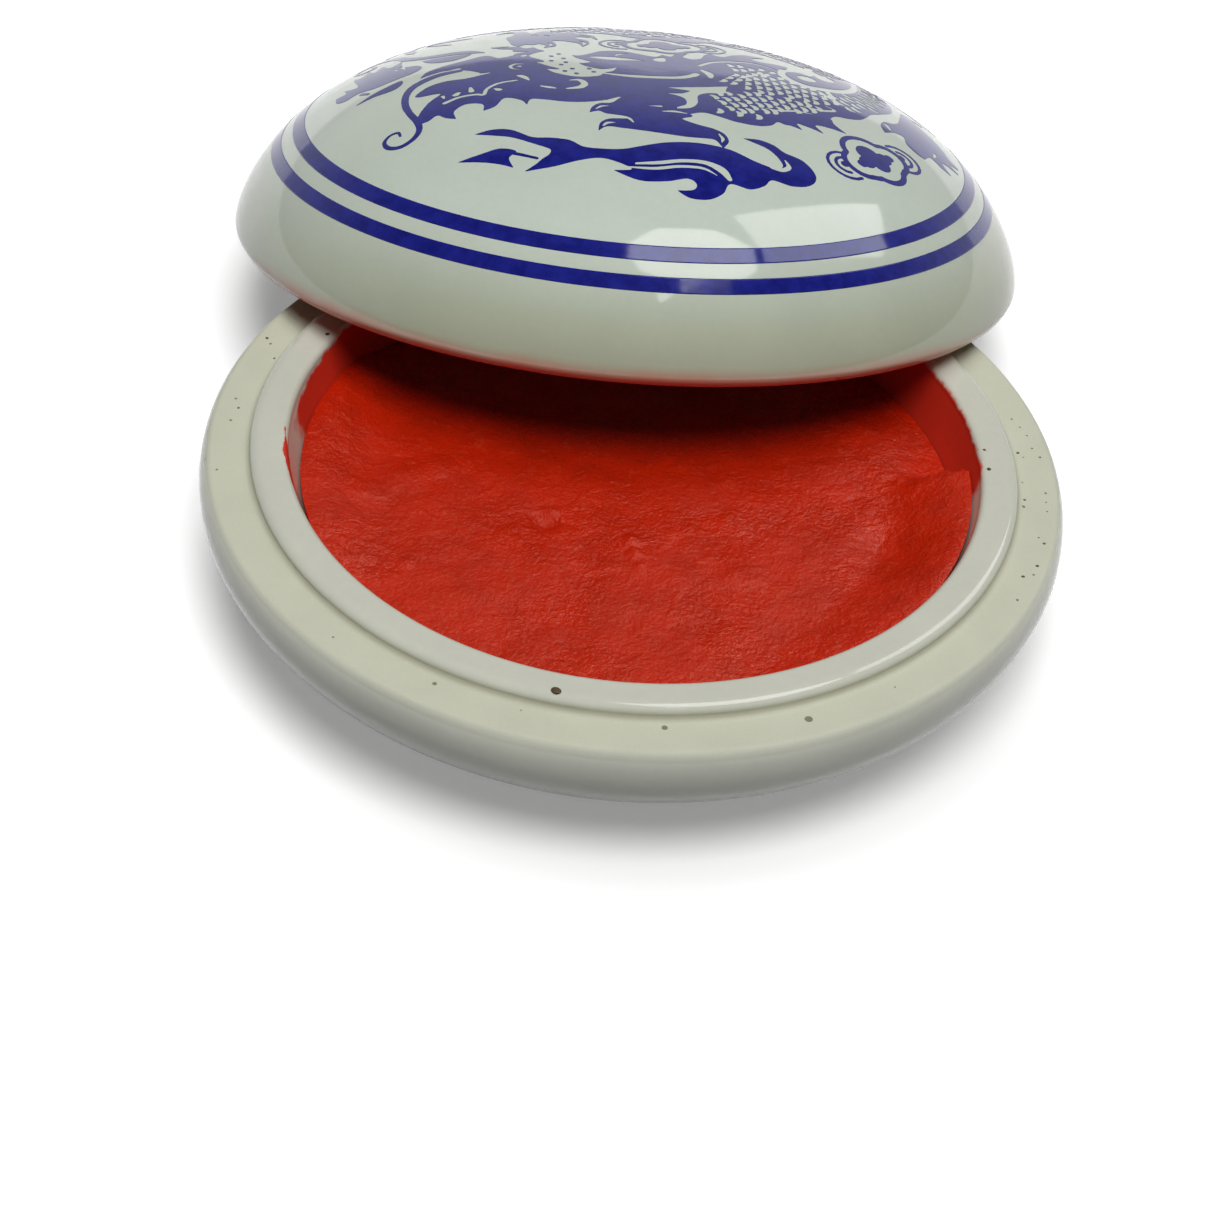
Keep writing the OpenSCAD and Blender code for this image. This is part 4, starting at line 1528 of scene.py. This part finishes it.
def turned_place(tree, place):
    """The radius, angle and height of a point round the upright axis."""
    axes = add(tree, "ShaderNodeSeparateXYZ", {0: place})
    x, y, height = (Value(tree, axes.outputs[axis]) for axis in "XYZ")
    radius = (x * x + y * y).maths("SQRT")
    return radius, y.maths("ARCTAN2", x), height


def clay_body(name, colours, glaze_tint, bare_of, stain_of, pool_and_shade_of):
    """Porcelain: glaze, with bare clay, red paste, and pooled glaze and painted shade where the masks
    say.
    """
    material, tree, shader = surface(name)
    # The darker tint: pooled glaze with painted shade round the collar, painted shade low on the lid
    pool_and_shade = [part * shade for part, shade in zip(glaze_tint, POOL_AND_SHADE_TINT)]
    tint = mix(tree, pool_and_shade_of(tree), opaque(glaze_tint), opaque(pool_and_shade))
    shade = add(tree, "ShaderNodeVectorMath", {0: tint, 3: MOTTLED_SHADE}, operation="SCALE")
    glaze = place_group(tree, "Fired glaze", glaze_group, {
        "tint": tint, "shade": shade.outputs[0],
        "wave_height": GLAZE_WAVES, "dimple_height": GLAZE_DIMPLES})
    clay = place_group(tree, "Bare clay", clay_group, {
        "tint": opaque(colours.clay), "speck": opaque(colours.speck),
        "spacing": PINHOLE_SPACING, "share": PINHOLE_SHARE})
    bare = bare_of(tree)
    stain = stain_of(tree)
    fired = mix(tree, bare, glaze.outputs["Color"], clay.outputs["Color"])
    feed(tree, mix(tree, stain, fired, opaque(colours.stain)), shader.inputs["Base Color"])
    roughness = between(bare, GLAZE_ROUGHNESS, CLAY_ROUGHNESS)
    feed(tree, between(stain, roughness, SMEAR_ROUGHNESS), shader.inputs["Roughness"])
    height = between(bare, Value(tree, glaze.outputs["Height"]),
                     Value(tree, clay.outputs["Height"]))
    bump(tree, height, shader)
    return material


def glaze_wander(tree, place):
    """How far the edge of the glaze strays at a point."""
    return (noise(tree, place, WANDER_SIZE) - 0.5) * GLAZE_WANDER


def sloping(turn, height, degrees, fall):
    """A height, given in millimetres at one angle, that falls with each radian further on."""
    return turn * (-fall * MM) + (height + fall * math.radians(degrees)) * MM


def dish_finish(name, settings):
    """The dish's porcelain: the ledge and the foot are bare, the well is smeared with paste."""
    dish = settings.dish
    side = box_radius(dish)
    collar = collar_radius(dish)
    well = collar - dish.collar_thickness
    well_floor = dish.foot_height + dish.floor_thickness

    def bare_of(tree):
        place = object_place(tree)
        radius, _, height = turned_place(tree, place)
        wander = glaze_wander(tree, place)
        outer = fade(tree, radius + wander,
                     *(side - dish.edge_width * share for share in LEDGE_OUTER))
        inner = fade(tree, radius - wander * INNER_WANDER, collar, collar + LEDGE_INNER)
        ledge = outer * inner * fade(tree, height, dish.ledge_height - dish.edge_drop,
                                     dish.ledge_height - dish.edge_drop / 4)
        return strongest(ledge, fade(tree, height, *FOOT_BARE))

    def stain_of(tree):
        place = object_place(tree)
        radius, turn, height = turned_place(tree, place)
        coarse = noise(tree, place, 1.6 * MM, 2.0) - 0.5
        fine = noise(tree, place, 0.35 * MM, 3.0, 0.7) - 0.5
        ragged = coarse * COARSE_FRAY + fine * FINE_FRAY
        on_wall = (beyond(tree, radius + fine * REACH_SWAY, well, SMEAR_REACH)
                   * beyond(tree, height, well_floor, SMEAR_START))
        # The way up the wall, and on over the rounded edge of the collar
        climb = height + (radius - well).maths("MAXIMUM", 0.0) * CLIMB_OVER
        right = (window(tree, turn + coarse * END_SWAY, *RIGHT_SMEAR)
                 * fade(tree, climb + ragged * RIGHT_FRAY, *RIGHT_FADE))
        behind = whole_turn(turn)
        left = (window(tree, behind + coarse * END_SWAY, *LEFT_SMEAR)
                * fade(tree, climb + ragged * LEFT_FRAY - sloping(behind, *LEFT_EDGE), *LEFT_FADE))
        away = (climb - sloping(behind, *STREAK_EDGE)).maths("ABSOLUTE")
        taper = window(tree, behind, *STREAK)
        streak = fade(tree, away + ragged * STREAK_FRAY - taper * STREAK_HALF, *STREAK_FADE)
        wiped = fade(tree, height + ragged * WIPED_FRAY, *WIPED_FADE)
        return on_wall * strongest(right, left, streak, wiped) * WELL_SMEAR

    def pool_and_shade_of(tree):
        # Pooled glaze round the collar's foot, with painted shade in that crease
        radius, _, height = turned_place(tree, object_place(tree))
        return (beyond(tree, radius, collar, POOL_AND_SHADE_START) * beyond(tree, radius, collar, POOL_AND_SHADE_END)
                * beyond(tree, height, dish.ledge_height, POOL_AND_SHADE_TOP) * COLLAR_POOL_AND_SHADE)

    return clay_body(name, settings.colours, settings.colours.dish_glaze, bare_of, stain_of,
                     pool_and_shade_of)


def lid_finish(name, settings):
    """The lid's porcelain: its rim is bare, the front of it is stained by the paste, and painted
    shade darkens its lower side.
    """
    place_at, lean = lid_place(settings)
    rim = box_radius(settings.dish) - settings.lid.side_width

    def own_place(tree):
        """Turns a point into the lid's own place, as it lies level at the origin."""
        node = add(tree, "ShaderNodeMapping", {
            "Vector": object_place(tree), "Location": place_at, "Rotation": (lean, 0.0, 0.0)},
            vector_type="TEXTURE")
        return node.outputs[0]

    def bare_of(tree):
        place = own_place(tree)
        radius, _, height = turned_place(tree, place)
        return (fade(tree, height + glaze_wander(tree, place), *RIM_BARE)
                * beyond(tree, radius, rim, RIM_REACH))

    def stain_of(tree):
        place = own_place(tree)
        _, turn, height = turned_place(tree, place)
        uneven = (noise(tree, place, 6 * MM, 3.0) - 0.5) * (1.2 * MM)
        return (near_side(tree, turn, *RIM_STAIN_SIDES)
                * fade(tree, height + uneven, *RIM_STAIN_HEIGHTS) * RIM_SMEAR)

    def pool_and_shade_of(tree):
        # Painted shade: darker and more olive low on the lid, most towards the front right, less
        # behind
        _, turn, height = turned_place(tree, own_place(tree))
        front = near_side(tree, turn, *LID_SHADE_SIDES)
        return fade(tree, height, *LID_SHADE_HEIGHTS) * between(front, BACK_SHADE, 1.0)

    return clay_body(name, settings.colours, settings.colours.lid_glaze, bare_of, stain_of,
                     pool_and_shade_of)


def print_finish(name, settings):
    """Cobalt print under the glaze, denser in places."""
    material, tree, shader = surface(name)
    place = object_place(tree)
    cobalt = settings.colours.cobalt
    density = fade(tree, noise(tree, place, 1.6 * MM, 5.0, 0.65), 0.35, 0.68)
    feed(tree, mix(tree, density, opaque(THIN_COBALT), opaque(cobalt)),
         shader.inputs["Base Color"])
    feed(tree, GLAZE_ROUGHNESS, shader.inputs["Roughness"])
    glaze = place_group(tree, "Fired glaze", glaze_group, {
        "wave_height": GLAZE_WAVES, "dimple_height": GLAZE_DIMPLES})
    bump(tree, glaze.outputs["Height"], shader)
    return material


def paste_finish(name, settings):
    """Oily vermilion paste: wrinkled and fibrous, with a broken sheen and painted sheen on its
    crests.
    """
    material, tree, shader = surface(name)
    place = object_place(tree)
    colours = settings.colours
    dark = [part * PASTE_SHADE for part in colours.vermilion]
    tone = fade(tree, noise(tree, place, 4 * MM, 6.0, 0.65), 0.35, 0.62)
    wrinkled = noise(tree, place, 1.5 * MM, 3.0, 0.55, 0.5)
    grain = noise(tree, place, 0.4 * MM, 3.0, 0.65, 0.3)
    dull = fade(tree, noise(tree, place, 9 * MM, 1.0), 0.35, 0.65)
    # Painted sheen: the crests of the wrinkles and the grain are paler
    painted_sheen = fade(tree, wrinkled * 0.45 + grain * 0.55, 0.54, 0.68)
    body = mix(tree, tone, opaque(dark), opaque(colours.vermilion))
    feed(tree, mix(tree, painted_sheen * PAINTED_SHEEN_SHARE, body, opaque(PAINTED_SHEEN_PASTE)),
         shader.inputs["Base Color"])
    feed(tree, between(dull, *PASTE_ROUGHNESS), shader.inputs["Roughness"])
    feed(tree, PASTE_SPECULAR, shader.inputs["Specular IOR Level"])
    feed(tree, opaque(PASTE_SHEEN), shader.inputs["Specular Tint"])
    bump(tree, wrinkled * WRINKLE_HEIGHT + grain * FIBRE_HEIGHT, shader)
    return material


def speck_finish(name, settings):
    """Iron specks burnt into the clay: the larger ones dark and uneven, the smaller ones pale."""
    material, tree, shader = surface(name)
    place = object_place(tree)
    speck = settings.colours.speck
    burnt = fade(tree, noise(tree, place, 0.15 * MM, 2.0), 0.35, 0.65)
    dark = mix(tree, burnt, opaque([part * SPECK_SHADE for part in speck]), opaque(speck))
    size = add(tree, "ShaderNodeAttribute", attribute_name="size")
    large = fade(tree, Value(tree, size.outputs["Fac"]), *SPECK_WIDTHS)
    feed(tree, mix(tree, large, opaque(PALE_SPECK), dark), shader.inputs["Base Color"])
    feed(tree, SPECK_ROUGHNESS, shader.inputs["Roughness"])
    return material


def finish(settings, key):
    """A finish of the box, made once."""
    name = key + "_finish"
    makers = {"dish": dish_finish, "lid": lid_finish, "print": print_finish,
              "paste": paste_finish, "speck": speck_finish}
    return bpy.data.materials.get(name) or makers[key](name, settings)


# Stage

WHITE = (1.0, 1.0, 1.0, 1.0)
BLACK = (0.0, 0.0, 0.0, 1.0)
# Lamps: name, direction, the setting of its strength, and its width in degrees
LAMPS = (
    ("key_lamp", (0.08, -0.36, 0.93), "key_strength", 28),
    ("top_lamp", (-0.1, 0.10, 1.0), "top_strength", 28),
    ("back_lamp", (0.75, 0.5, 0.6), "back_strength", 30),
)
# Where the backdrop fades in, in the height of a direction and in its depth behind the object
BACKDROP_HEIGHT = (0.75, 0.05)
BACKDROP_DEPTH = (-0.7, 0.7)
# Brightness of the dark room in reflections
ROOM = 0.03
# Grey of the floor as it is seen, and half its width
FLOOR_GREY = 0.9
FLOOR_HALF = 2.0
# Middle of the lid's front, which the panels' directions are seen from
GLAZE_SPOT = Vector((15 * MM, 20 * MM, 28 * MM))
# The lamp overhead: number of sides, middle and reach in directions, and turn of a corner
LAMP_SIDES = 8
LAMP_MIDDLE = (0.255, 0.07)
LAMP_REACH = 0.275
LAMP_TURN = math.radians(-4)
# Directions to the corners of the side window
WINDOW = ((0.324, 0.529, 1.0), (1.23, 1.595, 1.0), (1.409, 0.806, 1.0), (0.886, 0.389, 1.0),
          (0.54, 0.17, 1.0))
# Directions to the corners of the lamp's bright arm
LAMP_ARM = ((0.13, -0.3, 1.0), (0.215, -0.28, 1.0), (0.165, -0.42, 1.0))
# How bright the window is for each unit of the lamp's brightness
WINDOW_SHARE = 0.7


def make_camera(studio):
    """The camera that takes the photograph's view."""
    data = bpy.data.cameras.new("camera")
    data.lens = studio.camera_lens
    data.shift_x, data.shift_y = studio.camera_shift
    camera = new_object("camera", data)
    camera.matrix_world = (Matrix.Translation(studio.camera_place)
                           @ Matrix.Rotation(QUARTER - studio.camera_tilt, 4, "X")
                           @ Matrix.Rotation(studio.camera_roll, 4, "Z"))
    bpy.context.scene.camera = camera


def make_lamp(name, direction, strength, spread):
    """A soft lamp far away in one direction. It leaves no highlight of its own."""
    data = bpy.data.lights.new(name, "SUN")
    data.energy = strength
    data.angle = spread
    lamp = new_object(name, data)
    lamp.rotation_mode = "QUATERNION"
    lamp.rotation_quaternion = Vector(direction).to_track_quat("Z", "Y")
    lamp.visible_glossy = False


def seen_by(tree, *kinds):
    """1 for rays of some kinds, and 0 for all others."""
    path = add(tree, "ShaderNodeLightPath")
    return strongest(*(Value(tree, path.outputs["Is %s Ray" % kind]) for kind in kinds))


def make_world(studio):
    """White behind the object, and an even light all round it."""
    world = bpy.data.worlds.new("studio")
    bpy.context.scene.world = world
    world.use_nodes = True
    tree = world.node_tree
    seen = seen_by(tree, "Camera", "Transmission")
    mirrored = seen_by(tree, "Glossy")
    direction = add(tree, "ShaderNodeSeparateXYZ",
                    {0: add(tree, "ShaderNodeTexCoord").outputs["Generated"]})
    height = Value(tree, direction.outputs["Z"])
    back = Value(tree, direction.outputs["Y"])
    # The backdrop is pale low down behind the object, and the room dark overhead
    backdrop = (fade(tree, height, *BACKDROP_HEIGHT) * fade(tree, back, *BACKDROP_DEPTH)
                * studio.backdrop + ROOM)
    strength = mirrored * (backdrop - studio.ambient) + studio.ambient
    strength = strength + seen * (1 - strength)
    background = tree.nodes["Background"]
    feed(tree, WHITE, background.inputs["Color"])
    feed(tree, strength, background.inputs["Strength"])


def flat_mesh(name, corners, material):
    """One flat face of the stage."""
    mesh = bpy.data.meshes.new(name)
    mesh.from_pydata(corners, [], [range(len(corners))])
    mesh.materials.append(material)
    made = new_object(name, mesh)
    return made


def make_floor(studio):
    """The pale floor. It looks white, keeps the object's shadow and throws less light back."""
    material, tree, shader = surface("floor")
    seen = seen_by(tree, "Camera", "Glossy", "Transmission")
    feed(tree, mix(tree, seen, opaque([studio.floor_bounce] * 3), opaque([FLOOR_GREY] * 3)),
         shader.inputs["Base Color"])
    feed(tree, 1.0, shader.inputs["Roughness"])
    feed(tree, 0.0, shader.inputs["Specular IOR Level"])
    feed(tree, mix(tree, seen, BLACK, WHITE), shader.inputs["Emission Color"])
    feed(tree, studio.floor_glow, shader.inputs["Emission Strength"])
    corners = ((-1, -1), (1, -1), (1, 1), (-1, 1))
    flat_mesh("floor", [(x * FLOOR_HALF, y * FLOOR_HALF, 0) for x, y in corners], material)


def make_panel(name, corners, glow):
    """A bright panel far off, which only shows as a highlight in the glaze."""
    material = bpy.data.materials.new(name)
    material.use_nodes = True
    tree = material.node_tree
    tree.nodes.remove(tree.nodes["Principled BSDF"])
    light = add(tree, "ShaderNodeEmission", {"Color": WHITE, "Strength": glow})
    feed(tree, light.outputs[0], tree.nodes["Material Output"].inputs["Surface"])
    panel = flat_mesh(name, corners, material)
    panel.visible_camera = False
    panel.visible_diffuse = False
    panel.visible_transmission = False
    panel.visible_shadow = False


def make_highlights(studio):
    """The eight-sided lamp overhead, its arm and the window, as the glaze mirrors them."""
    lamp = []
    for corner in range(LAMP_SIDES):
        turn = LAMP_TURN + corner * math.tau / LAMP_SIDES
        spot = Vector(LAMP_MIDDLE) + LAMP_REACH * Vector((math.cos(turn), math.sin(turn)))
        lamp.append((spot.x, spot.y, 1.0))
    for name, directions, share in (("overhead_lamp", lamp, 1.0),
                                    ("window", WINDOW, WINDOW_SHARE), ("lamp_arm", LAMP_ARM, 1.0)):
        make_panel(name, [GLAZE_SPOT + Vector(direction) for direction in directions],
                   studio.highlight * share)


def make_stage(settings):
    """The camera, the lamps, the world and the floor."""
    studio = settings.studio
    make_camera(studio)
    for name, direction, strength, width in LAMPS:
        make_lamp(name, direction, getattr(studio, strength), math.radians(width))
    make_world(studio)
    make_floor(studio)
    make_highlights(studio)
    bpy.context.scene.view_settings.view_transform = "Standard"


# Add-on

class Step:
    """What the operators share: each calls its function with the scene's settings."""

    def execute(self, context):
        self.make(context.scene.seal_box)
        return {"FINISHED"}


class MakeDish(Step, bpy.types.Operator):
    """Make the porcelain dish"""

    bl_idname = "seal_box.make_dish"
    bl_label = "Dish"
    make = staticmethod(make_dish)


class MakeSpecks(Step, bpy.types.Operator):
    """Scatter the dark specks over the ledge and the collar"""

    bl_idname = "seal_box.make_specks"
    bl_label = "Specks"
    make = staticmethod(make_specks)


class MakeLid(Step, bpy.types.Operator):
    """Make the porcelain lid that leans on the dish"""

    bl_idname = "seal_box.make_lid"
    bl_label = "Lid"
    make = staticmethod(make_lid)


class MakeRings(Step, bpy.types.Operator):
    """Paint the two blue rings round the lid"""

    bl_idname = "seal_box.make_rings"
    bl_label = "Painted rings"
    make = staticmethod(make_rings)


class MakePrint(Step, bpy.types.Operator):
    """Paint the dragon, the clouds and the ribbon on the lid"""

    bl_idname = "seal_box.make_print"
    bl_label = "Dragon print"
    make = staticmethod(make_print)


class MakePaste(Step, bpy.types.Operator):
    """Fill the well with a cake of seal paste"""

    bl_idname = "seal_box.make_paste"
    bl_label = "Seal paste"
    make = staticmethod(make_paste)


class MakeStage(Step, bpy.types.Operator):
    """Set up the camera, the lamps and the floor"""

    bl_idname = "seal_box.make_stage"
    bl_label = "Stage"
    make = staticmethod(make_stage)


class SealBoxPanel(bpy.types.Panel):
    """Settings and steps of the seal paste box"""

    bl_idname = "VIEW3D_PT_seal_box"
    bl_label = "Seal Paste Box"
    bl_space_type = "VIEW_3D"
    bl_region_type = "UI"
    bl_category = "Seal Box"

    def draw(self, context):
        settings = context.scene.seal_box
        for name in settings.__annotations__:
            box = self.layout.box()
            box.label(text=label(name))
            group = getattr(settings, name)
            for key in group.__annotations__:
                box.prop(group, key)
        for operator in STEPS:
            self.layout.operator(operator.bl_idname)


STEPS = (MakeStage, MakeDish, MakeSpecks, MakeLid, MakeRings, MakePrint, MakePaste)
CLASSES = (DishSettings, LidSettings, PasteSettings, PrintSettings, ColourSettings,
           StudioSettings, BoxSettings, *STEPS, SealBoxPanel)


def register():
    for made in CLASSES:
        bpy.utils.register_class(made)
    bpy.types.Scene.seal_box = PointerProperty(type=BoxSettings)


def unregister():
    del bpy.types.Scene.seal_box
    for made in reversed(CLASSES):
        bpy.utils.unregister_class(made)


def main():
    """Makes the stage and every piece in order."""
    register()
    for step in STEPS:
        group, name = step.bl_idname.split(".")
        getattr(getattr(bpy.ops, group), name)()


if __name__ == "__main__":
    main()
